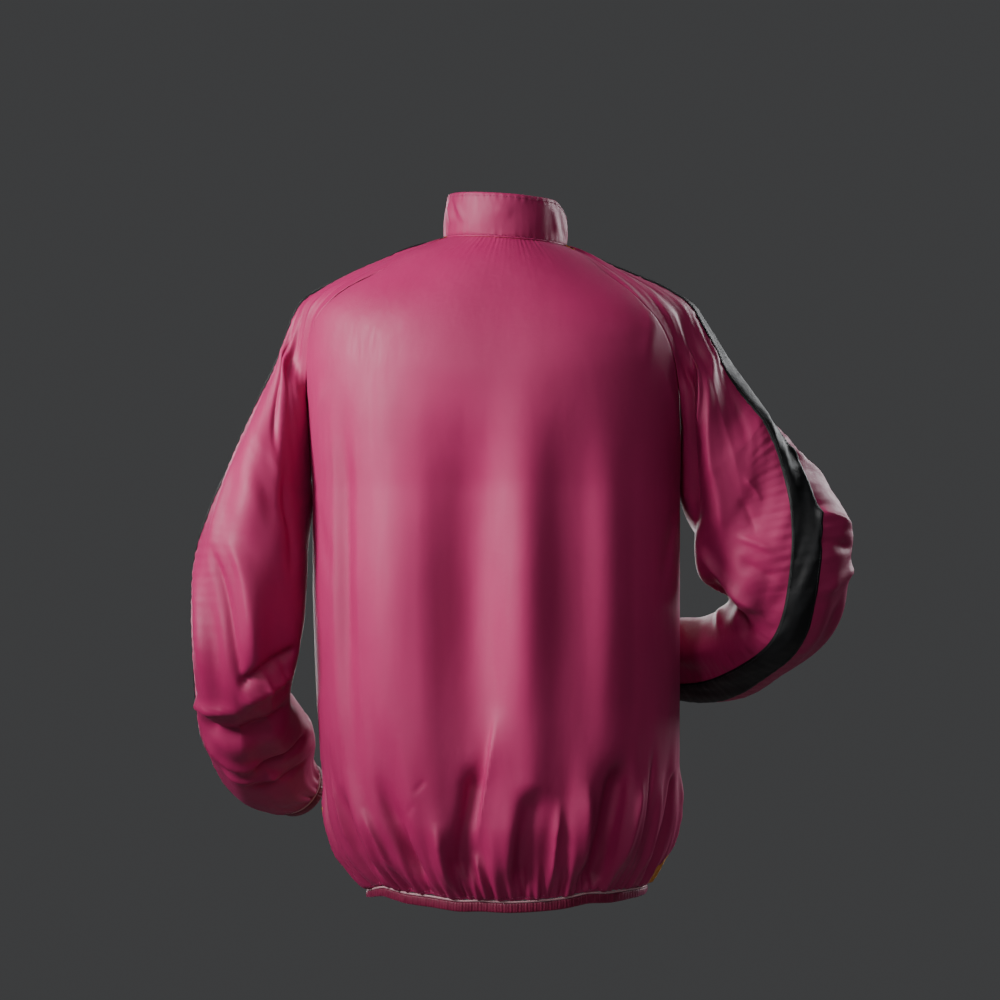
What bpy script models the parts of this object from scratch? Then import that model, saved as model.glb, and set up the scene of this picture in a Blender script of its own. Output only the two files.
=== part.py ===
"""A windbreaker as worn: a hollow shell of sewn panels, seen best from behind.

Frame: metres, +Z up, the front of the garment faces -Y and the wearer's left is +X.
The origin is the middle of the neck opening, level with the collar seam at the back.

Angles round the body are in degrees: 0 is the zip, 90 the wearer's left side, 180 the centre back.
Angles round a sleeve start at the side nearest the body and turn over the back of the arm.
"""

import math

import bmesh
import bpy
import numpy as np
from mathutils import Matrix, Vector

# ---- Cloth, seams and counts -------------------------------------------------------------------
CLOTH = 0.0014  # the wall of two layers of woven polyester
BAND = 0.0009  # the knitted band sewn on a sleeve
COLLAR_WALL = 0.0022
BINDING_WALL = 0.0030
SEAM = 0.0002  # each panel stops this far short of its seam line
CLEAR = 0.0003  # between a piece and what carries it

BACK_COLUMNS = 20
FRONT_COLUMNS = 10
YOKE_ROWS = 10
BAND_COLUMNS = 4

# ---- Body ---------------------------------------------------------------------------------------
ARMPIT_Z = -0.262
HEM_Z = -0.694
BINDING_HEIGHT = 0.0100
BINDING_ROLL = 0.40  # the part of its height that rolls under at the sides
PIPING_HEIGHT = 0.0020
ZIP_HALF = 0.0045

# Level rings of the body: height, middle, half width, depth behind, depth in front, squareness.
BODY_RINGS = [
    dict(z=-0.262, x=0.010, half=0.198, back=0.146, front=0.142, square=0.030),
    dict(z=-0.354, x=0.010, half=0.198, back=0.150, front=0.146, square=0.030),
    dict(z=-0.483, x=0.008, half=0.1965, back=0.152, front=0.148, square=0.025),
    dict(z=-0.548, x=0.006, half=0.194, back=0.154, front=0.150, square=0.020),
    dict(z=-0.613, x=0.005, half=0.189, back=0.1515, front=0.150, square=0.015),
    dict(z=-0.656, x=0.003, half=0.178, back=0.141, front=0.145, square=0.010),
    dict(z=-0.678, x=0.001, half=0.165, back=0.132, front=0.136, square=0.005),
    dict(z=-0.694, x=-0.002, half=0.151, back=0.124, front=0.126, square=0.000),
]

# Height of the hem seam round the body.
HEM_LINE = [
    dict(at=0, z=-0.6970),
    dict(at=60, z=-0.6975),
    dict(at=90, z=-0.6975),
    dict(at=108, z=-0.6910),
    dict(at=121, z=-0.6865),
    dict(at=150, z=-0.6905),
    dict(at=170, z=-0.6935),
    dict(at=192, z=-0.6925),
    dict(at=215, z=-0.6872),
    dict(at=245, z=-0.6890),
    dict(at=268, z=-0.6905),
    dict(at=300, z=-0.6950),
    dict(at=360, z=-0.6970),
]

# Angle of the two side seams down the body; the share runs from the armpit to the hem.
SIDE_SEAMS = [
    dict(share=0.00, left=90, right=270),
    dict(share=0.70, left=90, right=270),
    dict(share=0.87, left=89, right=266),
    dict(share=1.00, left=85, right=252),
]
HEM_PANEL_SHARE = 0.80  # the mustard lower fronts start here

# ---- Neck and shoulders ---------------------------------------------------------------------------
NECK_HALF = 0.066
NECK_BACK = 0.070
NECK_FRONT = 0.078
NECK_DROP = 0.065  # the collar seam is this much lower at the zip than at the back
NECK_TILT = 0.07
COLLAR_BACK = 0.0465
COLLAR_FRONT = 0.055

# How the body rises from the armpit level (share 0) to the collar seam (share 1), as parts of the
# way out from the neck and up to it, over the shoulder ridge, the back and the front.
YOKE_PROFILE = [
    dict(share=0.0, side_out=1.0, side_up=0.0, back_out=1.0, back_up=0.0, front_out=1.0, front_up=0.0),
    dict(share=0.2, side_out=1.03, side_up=0.27, back_out=1.01, back_up=0.215, front_out=0.98, front_up=0.21),
    dict(share=0.4, side_out=1.06, side_up=0.53, back_out=0.95, back_up=0.427, front_out=0.88, front_up=0.41),
    dict(share=0.5, side_out=1.04, side_up=0.67, back_out=0.87, back_up=0.53, front_out=0.77, front_up=0.51),
    dict(share=0.6, side_out=0.905, side_up=0.785, back_out=0.76, back_up=0.63, front_out=0.65, front_up=0.62),
    dict(share=0.8, side_out=0.48, side_up=0.905, back_out=0.43, back_up=0.83, front_out=0.36, front_up=0.81),
    dict(share=0.9, side_out=0.24, side_up=0.96, back_out=0.235, back_up=0.92, front_out=0.19, front_up=0.905),
    dict(share=1.0, side_out=0.0, side_up=1.0, back_out=0.0, back_up=1.0, front_out=0.0, front_up=1.0),
]

# Degrees by which the raglan seams leave the side of the body.
RAGLAN = [
    dict(share=0.0, back_left=0, back_right=0, front=0),
    dict(share=0.2, back_left=6, back_right=13, front=8),
    dict(share=0.4, back_left=13, back_right=23, front=16),
    dict(share=0.6, back_left=24, back_right=33, front=26),
    dict(share=0.8, back_left=29, back_right=34, front=31),
    dict(share=0.9, back_left=27, back_right=30, front=29),
    dict(share=1.0, back_left=23, back_right=24, front=26),
]

# ---- Sleeves --------------------------------------------------------------------------------------
BAND_WIDTH = 0.034
CUFF_BINDING = 0.010

# Rings of each sleeve: the middle, half width across the arm, half depth, roll of the wide axis,
# and the angles where the underarm seam and the band lie.
LEFT_SLEEVE = [
    dict(name="upper", x=0.272, y=0.006, z=-0.338, wide=0.060, deep=0.068, roll=8, under=0, band=198),
    dict(name="lower", x=0.277, y=0.010, z=-0.405, wide=0.060, deep=0.064, roll=0, under=0, band=200),
    dict(name="above", x=0.283, y=0.006, z=-0.462, wide=0.053, deep=0.060, roll=0, under=0, band=200),
    dict(name="elbow", x=0.282, y=-0.026, z=-0.508, wide=0.052, deep=0.052, roll=0, under=0, band=200),
    dict(name="forearm", x=0.273, y=-0.080, z=-0.540, wide=0.060, deep=0.048, roll=0, under=0, band=200),
    dict(name="wrist", x=0.260, y=-0.130, z=-0.586, wide=0.050, deep=0.045, roll=0, under=0, band=200),
    dict(name="cuff", x=0.240, y=-0.162, z=-0.604, wide=0.035, deep=0.031, roll=0, under=0, band=200),
]
RIGHT_SLEEVE = [
    dict(name="upper", x=-0.290, y=0.012, z=-0.316, wide=0.082, deep=0.056, roll=0, under=-25, band=112),
    dict(name="lower", x=-0.298, y=0.016, z=-0.362, wide=0.074, deep=0.052, roll=0, under=-50, band=104),
    dict(name="above", x=-0.299, y=0.008, z=-0.397, wide=0.058, deep=0.050, roll=0, under=-70, band=100),
    dict(name="elbow", x=-0.280, y=-0.018, z=-0.424, wide=0.049, deep=0.050, roll=0, under=-80, band=100),
    dict(name="forearm", x=-0.236, y=-0.078, z=-0.453, wide=0.050, deep=0.046, roll=0, under=-90, band=100),
    dict(name="wrist", x=-0.170, y=-0.142, z=-0.457, wide=0.046, deep=0.042, roll=0, under=-90, band=100),
    dict(name="cuff", x=-0.130, y=-0.176, z=-0.459, wide=0.036, deep=0.032, roll=0, under=-90, band=100),
]


# ---- Curves through tables ------------------------------------------------------------------------
def column(table, name):
    return np.array([row[name] for row in table], float)


def smooth(knots, values, at):
    """Values of a curve through the knots that never overshoots them."""
    knots, values = np.asarray(knots, float), np.asarray(values, float)
    order = np.argsort(knots)
    knots, values = knots[order], values[order]
    step, rise = np.diff(knots), np.diff(values)
    slope = rise / step
    bend = np.zeros(len(knots))
    same = slope[:-1] * slope[1:] > 0
    mean = np.zeros(len(slope) - 1)
    mean[same] = 2 * slope[:-1][same] * slope[1:][same] / (slope[:-1] + slope[1:])[same]
    bend[1:-1] = mean
    bend[0], bend[-1] = slope[0], slope[-1]
    at = np.clip(np.asarray(at, float), knots[0], knots[-1])
    i = np.clip(np.searchsorted(knots, at) - 1, 0, len(step) - 1)
    t = (at - knots[i]) / step[i]
    return (
        values[i] * (1 + 2 * t) * (1 - t) ** 2
        + values[i + 1] * t * t * (3 - 2 * t)
        + step[i] * (bend[i] * t * (1 - t) ** 2 + bend[i + 1] * t * t * (t - 1))
    )


def look_up(table, key, name, at):
    return smooth(column(table, key), column(table, name), at)


def spline(knots, points, at):
    """Points on a natural cubic spline, and its derivatives there."""
    n, h = len(knots), np.diff(knots)
    system, right = np.eye(n), np.zeros((n,) + points.shape[1:])
    for i in range(1, n - 1):
        system[i, i - 1 : i + 2] = h[i - 1], 2 * (h[i - 1] + h[i]), h[i]
        right[i] = 6 * ((points[i + 1] - points[i]) / h[i] - (points[i] - points[i - 1]) / h[i - 1])
    second = np.linalg.solve(system, right.reshape(n, -1)).reshape(points.shape)
    found, slopes = [], []
    for value in at:
        i = int(np.clip(np.searchsorted(knots, value) - 1, 0, n - 2))
        a, b = (knots[i + 1] - value) / h[i], (value - knots[i]) / h[i]
        found.append(
            a * points[i]
            + b * points[i + 1]
            + ((a**3 - a) * second[i] + (b**3 - b) * second[i + 1]) * h[i] ** 2 / 6
        )
        slopes.append(
            (points[i + 1] - points[i]) / h[i]
            + ((1 - 3 * a * a) * second[i] + (3 * b * b - 1) * second[i + 1]) * h[i] / 6
        )
    return np.array(found), np.array(slopes)


def unit(vectors):
    vectors = np.asarray(vectors, float)
    return vectors / np.maximum(np.linalg.norm(vectors, axis=-1, keepdims=True), 1e-12)


# ---- The body as one surface: level 0 is the collar seam, 1 the armpits, 2 the hem seam -----------
def turn(angle):
    radians = np.radians(np.asarray(angle, float))
    return np.sin(radians), np.cos(radians)


def neck_point(angle):
    """A point of the collar seam."""
    sine, cosine = turn(angle)
    x = NECK_HALF * sine
    y = -np.where(cosine > 0, NECK_FRONT, NECK_BACK) * cosine
    z = NECK_TILT * x - NECK_DROP * np.maximum(cosine, 0) ** 1.5
    return np.stack([x, y, z], -1)


def body_ring(angle, z):
    """A point of the body at a height below the armpits."""
    sine, cosine = turn(angle)
    ring = {name: look_up(BODY_RINGS, "z", name, z) for name in ("x", "half", "back", "front", "square")}
    bulge = 1 + ring["square"] * (2 * sine * cosine) ** 2
    x = ring["x"] + ring["half"] * sine * bulge
    y = -np.where(cosine > 0, ring["front"], ring["back"]) * cosine * bulge
    return np.stack([x, y, np.broadcast_to(z, np.shape(x))], -1)


def body_base(angle, level):
    """The body without its folds, at angles and levels of the same shape."""
    angle, level = np.broadcast_arrays(np.asarray(angle, float), np.asarray(level, float))
    low = np.clip(level - 1, 0, 1)
    lower = body_ring(angle, ARMPIT_Z + (HEM_Z - ARMPIT_Z) * low)
    lower[..., 2] += low**3 * (look_up(HEM_LINE, "at", "z", angle % 360) - HEM_Z)
    share = np.clip(1 - level, 0, 1)
    sine, cosine = turn(angle)
    side = sine**2
    out, up = 0.0, 0.0
    weights = {"side": side, "back": (1 - side) * (cosine <= 0), "front": (1 - side) * (cosine > 0)}
    for face, weight in weights.items():
        out = out + weight * look_up(YOKE_PROFILE, "share", face + "_out", share)
        up = up + weight * look_up(YOKE_PROFILE, "share", face + "_up", share)
    neck, pit = neck_point(angle), body_ring(angle, ARMPIT_Z)
    mix = np.stack([out, out, 1 - up], -1)
    upper = neck + (pit - neck) * mix
    return np.where((level > 1)[..., None], lower, upper)


def raglan_angle(side, face, share):
    """Angle of a raglan seam; side is left or right, face is back or front."""
    if face == "front":
        lean = -look_up(RAGLAN, "share", "front", share)
    else:
        lean = look_up(RAGLAN, "share", "back_" + side, share)
    return 90 + lean if side == "left" else 270 - lean


def zip_angle(level):
    """Degrees from the middle of the front to the edge of the zip."""
    low = np.clip(np.asarray(level, float) - 1, 0, 1)
    half = look_up(BODY_RINGS, "z", "half", ARMPIT_Z + (HEM_Z - ARMPIT_Z) * low)
    share = np.clip(1 - np.asarray(level, float), 0, 1)
    out = look_up(YOKE_PROFILE, "share", "front_out", share)
    half = np.where(np.asarray(level) > 1, half, NECK_HALF + (half - NECK_HALF) * out)
    return np.degrees(np.arcsin(ZIP_HALF / half))


def panel_edges(panel, level):
    """The two angles between which a body panel lies at a level."""
    if level <= 1:
        left = {face: float(raglan_angle("left", face, 1 - level)) for face in ("back", "front")}
        right = {face: float(raglan_angle("right", face, 1 - level)) for face in ("back", "front")}
    else:
        left = dict.fromkeys(("back", "front"), float(look_up(SIDE_SEAMS, "share", "left", level - 1)))
        right = dict.fromkeys(("back", "front"), float(look_up(SIDE_SEAMS, "share", "right", level - 1)))
    opening = float(zip_angle(level))
    if panel == "back":
        return left["back"], right["back"]
    if panel == "left":
        return opening, left["front"]
    return right["front"], 360 - opening


# ---- Folds that are wide enough for the wall to follow --------------------------------------------
# Each lies at an angle on the hem (level 2) and leans to another at its top; wide is in degrees.
BODY_FOLDS = [
    dict(foot=22, head=16, top=1.62, wide=5.0, lift=0.0050),
    dict(foot=45, head=38, top=1.70, wide=4.5, lift=-0.0040),
    dict(foot=66, head=60, top=1.55, wide=5.0, lift=0.0050),
    dict(foot=86, head=82, top=1.66, wide=4.5, lift=-0.0040),
    dict(foot=106, head=97, top=1.72, wide=4.5, lift=0.0050),
    dict(foot=121, head=110, top=1.60, wide=4.5, lift=-0.0050),
    dict(foot=135, head=126, top=1.68, wide=4.5, lift=0.0055),
    dict(foot=148, head=143, top=1.52, wide=4.5, lift=-0.0045),
    dict(foot=160, head=163, top=1.74, wide=4.0, lift=0.0040),
    dict(foot=169, head=179, top=1.55, wide=4.0, lift=-0.0065),
    dict(foot=180, head=187, top=1.66, wide=4.5, lift=0.0055),
    dict(foot=193, head=199, top=1.72, wide=4.5, lift=-0.0040),
    dict(foot=204, head=209, top=1.60, wide=4.5, lift=0.0050),
    dict(foot=215, head=221, top=1.60, wide=4.0, lift=-0.0075),
    dict(foot=226, head=233, top=1.66, wide=4.5, lift=0.0055),
    dict(foot=240, head=248, top=1.58, wide=4.5, lift=-0.0045),
    dict(foot=256, head=262, top=1.70, wide=5.0, lift=0.0045),
    dict(foot=280, head=286, top=1.60, wide=5.0, lift=-0.0040),
    dict(foot=302, head=306, top=1.66, wide=5.0, lift=0.0050),
    dict(foot=330, head=338, top=1.60, wide=5.0, lift=-0.0040),
]
# Long soft waves down the back and fronts, as the cloth hangs from the shoulders.
BODY_WAVES = [
    dict(at=52, top=0.75, foot=1.75, wide=13, lift=-0.0040),
    dict(at=129, top=0.60, foot=1.85, wide=7, lift=-0.0080),
    dict(at=148, top=0.50, foot=2.05, wide=16, lift=0.0080),
    dict(at=173, top=0.50, foot=2.15, wide=17, lift=-0.0215),
    dict(at=188, top=0.45, foot=1.95, wide=12, lift=0.0050),
    dict(at=202, top=0.50, foot=1.95, wide=12, lift=-0.0050),
    dict(at=216, top=0.60, foot=1.85, wide=10, lift=0.0050),
    dict(at=308, top=0.75, foot=1.75, wide=13, lift=-0.0040),
]
HEM_HOLD = 0.85  # the part of a fold's depth that the binding holds flat
HOLD_FROM = 1.88  # level where the binding starts to flatten the folds
FOLD_SPREAD = 1.6  # half the width of a fold where it dies out, over its stated width
HEM_LEVEL = 2.0
GATHER_DEPTH = 0.0011
GATHER_TOP = 1.925  # level where the gathers have run out


def bump(distance):
    """One soft hump, 1 in the middle and 0 from a distance of 1."""
    distance = np.clip(np.abs(distance), 0, 1)
    return 0.5 + 0.5 * np.cos(np.pi * distance)


def ease(value):
    value = np.clip(value, 0, 1)
    return value * value * (3 - 2 * value)


def body_relief(angle, level):
    """How far the folds lift the body off its base."""
    lift = np.zeros(np.broadcast(angle, level).shape)
    for fold in BODY_FOLDS:
        run = (level - fold["top"]) / (HEM_LEVEL - fold["top"])
        middle = fold["head"] + (fold["foot"] - fold["head"]) * np.clip(run, 0, 1)
        held = HEM_HOLD * ease((level - HOLD_FROM) / (HEM_LEVEL - HOLD_FROM))
        swell = ease(2 * run) * (1 - held)
        lift = lift + fold["lift"] * swell * bump((angle - middle) / (fold["wide"] * FOLD_SPREAD))
    for wave in BODY_WAVES:
        middle = (level - wave["top"]) / (wave["foot"] - wave["top"])
        lift = lift + wave["lift"] * bump(2 * middle - 1) * bump((angle - wave["at"]) / wave["wide"])
    return lift


def body_point(angle, level):
    """The outside of the body with its folds, without the gathers."""
    angle, level = np.broadcast_arrays(np.asarray(angle, float), np.asarray(level, float))
    base = body_base(angle, level)
    across = body_base(angle + 0.5, level) - body_base(angle - 0.5, level)
    down = body_base(angle, np.minimum(level + 0.01, 2)) - body_base(angle, np.maximum(level - 0.01, 0))
    return base - unit(np.cross(across, down)) * body_relief(angle, level)[..., None]


# ---- The sleeves -----------------------------------------------------------------------------------
# A sleeve's columns run down the arm: from the back seam (or underarm) round the outside to the
# front one, with the band in the middle. Its first rows lie between the two raglan seams.
SIDE_COLUMNS = 9
SLEEVE_COLUMNS = 2 * SIDE_COLUMNS + BAND_COLUMNS
BAND_START = SIDE_COLUMNS
BAND_END = SIDE_COLUMNS + BAND_COLUMNS
ARM_ROWS = 13
CROTCH_LEAN = 0.35  # how much the cloth turns outward where it leaves the armpit

# Sections of the sleeve between the raglan seams, by the seams' share: the outermost point, how far
# the section swells, and where the band's middle lies on its way from the back seam to the front.
LEFT_CAP = [
    dict(share=1.0, x=0.066, y=-0.003, z=0.000, swell=1.0, band=0.50),
    dict(share=0.9, x=0.096, y=-0.004, z=-0.008, swell=1.0, band=0.50),
    dict(share=0.8, x=0.128, y=-0.004, z=-0.020, swell=1.0, band=0.51),
    dict(share=0.7, x=0.160, y=-0.004, z=-0.033, swell=1.0, band=0.52),
    dict(share=0.6, x=0.191, y=-0.004, z=-0.047, swell=1.0, band=0.53),
    dict(share=0.5, x=0.217, y=-0.003, z=-0.063, swell=1.1, band=0.54),
    dict(share=0.4, x=0.231, y=-0.002, z=-0.088, swell=1.3, band=0.54),
    dict(share=0.3, x=0.241, y=-0.001, z=-0.114, swell=1.6, band=0.54),
    dict(share=0.2, x=0.252, y=0.000, z=-0.141, swell=1.9, band=0.54),
    dict(share=0.1, x=0.264, y=0.000, z=-0.167, swell=2.2, band=0.54),
    dict(share=0.0, x=0.276, y=0.000, z=-0.193, swell=2.5, band=0.54),
]
RIGHT_CAP = [
    dict(share=1.0, x=-0.066, y=-0.003, z=-0.006, swell=1.0, band=0.50),
    dict(share=0.9, x=-0.096, y=-0.004, z=-0.018, swell=1.0, band=0.50),
    dict(share=0.8, x=-0.121, y=-0.004, z=-0.029, swell=1.0, band=0.50),
    dict(share=0.7, x=-0.149, y=-0.004, z=-0.040, swell=1.0, band=0.50),
    dict(share=0.6, x=-0.177, y=-0.004, z=-0.051, swell=1.0, band=0.50),
    dict(share=0.5, x=-0.202, y=-0.002, z=-0.066, swell=1.1, band=0.50),
    dict(share=0.4, x=-0.217, y=0.000, z=-0.089, swell=1.3, band=0.49),
    dict(share=0.3, x=-0.231, y=0.002, z=-0.114, swell=1.5, band=0.47),
    dict(share=0.2, x=-0.246, y=0.003, z=-0.139, swell=1.8, band=0.46),
    dict(share=0.1, x=-0.263, y=0.004, z=-0.161, swell=2.1, band=0.44),
    dict(share=0.0, x=-0.282, y=0.004, z=-0.184, swell=2.3, band=0.43),
]
SLEEVES = {"left": LEFT_SLEEVE, "right": RIGHT_SLEEVE}
CAPS = {"left": LEFT_CAP, "right": RIGHT_CAP}

# Folds of the sleeves: angle round the arm, place along it (0 at the armpit, 1 at the cuff).
LEFT_FOLDS = [
    dict(at=92, start=0.22, end=0.64, turn_to=60, wide=26, lift=-0.0060),
    dict(at=140, start=0.25, end=0.68, turn_to=96, wide=24, lift=0.0055),
    dict(at=62, start=0.40, end=0.84, turn_to=80, wide=26, lift=0.0065),
    dict(at=100, start=0.58, end=0.92, turn_to=118, wide=24, lift=-0.0055),
    dict(at=30, start=0.30, end=0.62, turn_to=10, wide=26, lift=-0.0060),
    dict(at=330, start=0.36, end=0.76, turn_to=345, wide=28, lift=0.0060),
    dict(at=290, start=0.30, end=0.70, turn_to=300, wide=28, lift=-0.0060),
    dict(at=105, start=-0.10, end=0.30, turn_to=112, wide=30, lift=-0.0035),
    dict(at=250, start=0.40, end=0.88, turn_to=255, wide=28, lift=0.0040),
]
RIGHT_FOLDS = [
    dict(at=60, start=0.10, end=0.52, turn_to=30, wide=28, lift=-0.0060),
    dict(at=25, start=0.20, end=0.62, turn_to=0, wide=26, lift=0.0060),
    dict(at=-5, start=0.12, end=0.46, turn_to=-20, wide=26, lift=-0.0060),
    dict(at=150, start=0.24, end=0.62, turn_to=160, wide=26, lift=0.0045),
    dict(at=180, start=0.30, end=0.74, turn_to=190, wide=26, lift=-0.0050),
    dict(at=230, start=0.20, end=0.68, turn_to=225, wide=30, lift=0.0050),
    dict(at=280, start=0.28, end=0.58, turn_to=270, wide=28, lift=-0.0060),
    dict(at=70, start=0.46, end=0.88, turn_to=60, wide=26, lift=0.0050),
]
SLEEVE_FOLDS = {"left": LEFT_FOLDS, "right": RIGHT_FOLDS}


def hermite(start, end, leave, arrive, t):
    t = np.asarray(t, float)[:, None]
    return (
        start * (1 + 2 * t) * (1 - t) ** 2
        + end * t * t * (3 - 2 * t)
        + leave * t * (1 - t) ** 2
        + arrive * t * t * (t - 1)
    )


def spread(curve, middle, columns):
    """Points of a curve at the sleeve's columns: the band keeps its width about its middle."""
    length = np.concatenate([[0], np.cumsum(np.linalg.norm(np.diff(curve, axis=0), axis=-1))])
    band = middle * length[-1]
    stops = [0, band - BAND_WIDTH / 2, band + BAND_WIDTH / 2, length[-1]]
    places = np.interp(columns, [0, BAND_START, BAND_END, SLEEVE_COLUMNS], stops)
    return np.stack([np.interp(places, length, curve[:, k]) for k in range(3)], -1)


def seam_leave(side, face, share):
    """A raglan seam's point, and the direction in which the sleeve's cloth leaves it."""
    angle, level = raglan_angle(side, face, share), 1 - share
    start = body_point(angle, level)
    across = body_base(angle + 1, level) - body_base(angle - 1, level)
    down = body_base(angle, level + 0.02) - body_base(angle, max(level - 0.02, 0))
    normal = -unit(np.cross(across, down))
    later, sooner = min(share + 0.02, 1), max(share - 0.02, 0)
    ahead = body_base(raglan_angle(side, face, later), 1 - later)
    behind = body_base(raglan_angle(side, face, sooner), 1 - sooner)
    over = unit(np.cross(normal, ahead - behind))
    back = 1 if face == "back" else -1
    out = 1 if side == "left" else -1
    over = over * back * out
    crotch = unit(np.array([out * CROTCH_LEAN, back * 1.0, 0]))
    hold = ease((share - 0.12) / 0.38)
    return start, unit(over * hold + crotch * (1 - hold))


def cap_section(side, share, columns):
    """The sleeve between the raglan seams at one share, at its columns."""
    table = CAPS[side]
    middle = float(look_up(table, "share", "band", share))
    if share >= 1:
        angles = np.linspace(float(raglan_angle(side, "back", 1)), float(raglan_angle(side, "front", 1)), 61)
        return spread(body_point(angles, np.zeros(61)), middle, columns)
    top = np.array([float(look_up(table, "share", name, share)) for name in "xyz"])
    swell = float(look_up(table, "share", "swell", share))
    t = np.linspace(0, 1, 41)
    back, leave_back = seam_leave(side, "back", share)
    front, leave_front = seam_leave(side, "front", share)
    over = unit(np.array([0, -1.0, 0]) * swell + unit(front - back + [0, -1e-6, 0]))
    far_back, far_front = np.linalg.norm(top - back) * swell, np.linalg.norm(top - front) * swell
    first = hermite(back, top, leave_back * far_back, over * far_back, t)
    second = hermite(top, front, over * far_front, -leave_front * far_front, t)
    return spread(np.concatenate([first, second[1:]]), middle, columns)


def sleeve_frames(side):
    """Middle, outward and backward axes of the rings, carried down the arm without twisting."""
    rings = SLEEVES[side]
    middles = np.stack([column(rings, name) for name in "xyz"], -1)
    knots = np.concatenate([[0], np.cumsum(np.linalg.norm(np.diff(middles, axis=0), axis=-1))])
    along = unit(spline(knots, middles, knots)[1])
    back = np.array([0.0, 1.0, 0.0])
    frames = []
    for ring, axis in zip(rings, along):
        back = unit(back - axis * (back @ axis))
        out = np.cross(back, axis)
        if not frames and out[0] * middles[0][0] < 0 or frames and out @ frames[-1][0] < 0:
            out = -out
        roll = math.radians(ring["roll"])
        turned = out * math.cos(roll) + back * math.sin(roll)
        frames.append((turned, back * math.cos(roll) - out * math.sin(roll)))
    return middles, knots, np.array(frames), along


def ring_angles(ring, columns):
    """Angles round a ring for columns of the sleeve: the band keeps its width."""
    angles = np.linspace(ring["under"], ring["under"] + 360, 721)
    sine, cosine = turn(angles)
    round_ring = np.stack([ring["wide"] * cosine, ring["deep"] * sine], -1)
    length = np.concatenate([[0], np.cumsum(np.linalg.norm(np.diff(round_ring, axis=0), axis=-1))])
    band = np.interp(ring["band"], angles, length)
    stops = [0, band - BAND_WIDTH / 2, band + BAND_WIDTH / 2, length[-1]]
    places = np.interp(columns, [0, BAND_START, BAND_END, SLEEVE_COLUMNS], stops)
    return np.interp(places, length, angles)


def arm_grid(side, columns, along):
    """Sleeve points below the armpit: along runs from 0 at the armpit to 1 at the cuff."""
    middles, _, frames, _ = sleeve_frames(side)
    rings = [cap_section(side, 0.15, columns), cap_section(side, 0.0, columns)]
    for ring, middle, (out, back) in zip(SLEEVES[side], middles, frames):
        sine, cosine = turn(ring_angles(ring, columns))
        rings.append(middle - np.outer(ring["wide"] * cosine, out) + np.outer(ring["deep"] * sine, back))
    rings = np.array(rings)
    steps = np.linalg.norm(np.diff(rings.mean(1), axis=0), axis=-1)
    places = np.concatenate([[-steps[0]], [0], np.cumsum(steps[1:])])
    return spline(places, rings, np.asarray(along, float) * places[-1])[0]


def grid_normals(grid, side):
    """Outward normals of a sleeve grid whose first and last columns may meet."""
    across = np.gradient(grid, axis=1)
    closed = np.linalg.norm(grid[:, 0] - grid[:, -1], axis=-1) < 1e-6
    across[closed, 0] = across[closed, -1] = grid[closed, 1] - grid[closed, -2]
    normals = unit(np.cross(np.gradient(grid, axis=0), across))
    return normals if side == "left" else -normals


def arm_relief(side, columns, along):
    """How far the folds lift the sleeve."""
    table = np.array([ring_angles(ring, columns) for ring in SLEEVES[side]])
    knots = np.linspace(0.12, 1, len(table))
    angles = np.stack([np.interp(along, knots, table[:, j]) for j in range(len(columns))], -1)
    lift = np.zeros(angles.shape)
    for fold in SLEEVE_FOLDS[side]:
        run = (np.asarray(along)[:, None] - fold["start"]) / (fold["end"] - fold["start"])
        middle = fold["at"] + (fold["turn_to"] - fold["at"]) * np.clip(run, 0, 1)
        off = (angles - middle + 180) % 360 - 180
        lift += fold["lift"] * bump(2 * run - 1) * bump(off / fold["wide"])
    return lift * ease(np.asarray(along)[:, None] / 0.15) * ease((1 - np.asarray(along)[:, None]) / 0.10)


def sleeve_grid(side, columns, shares, along):
    """The outside of a sleeve: rows at the raglan shares, then rows along the arm."""
    cap = [cap_section(side, float(share), columns) for share in shares]
    arm = arm_grid(side, columns, along)
    arm = arm + grid_normals(arm, side) * arm_relief(side, columns, along)[..., None]
    return np.concatenate([np.array(cap), arm])


# ---- From a surface of panels to solids ------------------------------------------------------------
class Skin:
    """Faces of one outer surface, each in a named panel, on points that neighbours share."""

    def __init__(self):
        self.points, self.index, self.panels = [], {}, {}

    def row(self, points):
        found = []
        for point in np.asarray(points, float):
            key = tuple(np.round(point, 6))
            if key not in self.index:
                self.index[key] = len(self.points)
                self.points.append(point)
            found.append(self.index[key])
        return found

    def strip(self, panel, upper, lower, flip=False):
        """Faces between two rows; the lower one has as many columns as the upper or twice as many."""
        faces = []
        ratio = (len(lower) - 1) // (len(upper) - 1)
        for j in range(len(upper) - 1):
            a, b = upper[j], upper[j + 1]
            if ratio == 1:
                faces.append((a, lower[j], lower[j + 1], b))
            else:
                d, e, f = lower[2 * j : 2 * j + 3]
                faces += [(a, d, e), (a, e, b), (b, e, f)]
        faces = [tuple(dict.fromkeys(face)) for face in faces]
        faces = [face[::-1] if flip else face for face in faces if len(face) > 2]
        self.panels.setdefault(panel, []).extend(faces)

    def normals(self, faces):
        points, total = np.array(self.points), np.zeros((len(self.points), 3))
        for face in faces:
            corners = points[list(face)]
            sides = corners[1:] - corners[0]
            total[list(face)] += np.cross(sides[:-1], sides[1:]).sum(0)
        return unit(total)

    def shared_normals(self, panel):
        """Normals of the whole skin, but a panel's own where it meets its neighbour at a fold."""
        own = self.normals(self.panels[panel])
        whole = self.normals([face for faces in self.panels.values() for face in faces])
        close = np.sum(own * whole, -1, keepdims=True) > 0.85
        return np.where(close, whole, own)


def edges_of(faces):
    """Directed border edges of a patch."""
    used = {(face[i - 1], face[i]) for face in faces for i in range(len(face))}
    return [edge for edge in used if edge[::-1] not in used]


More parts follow.
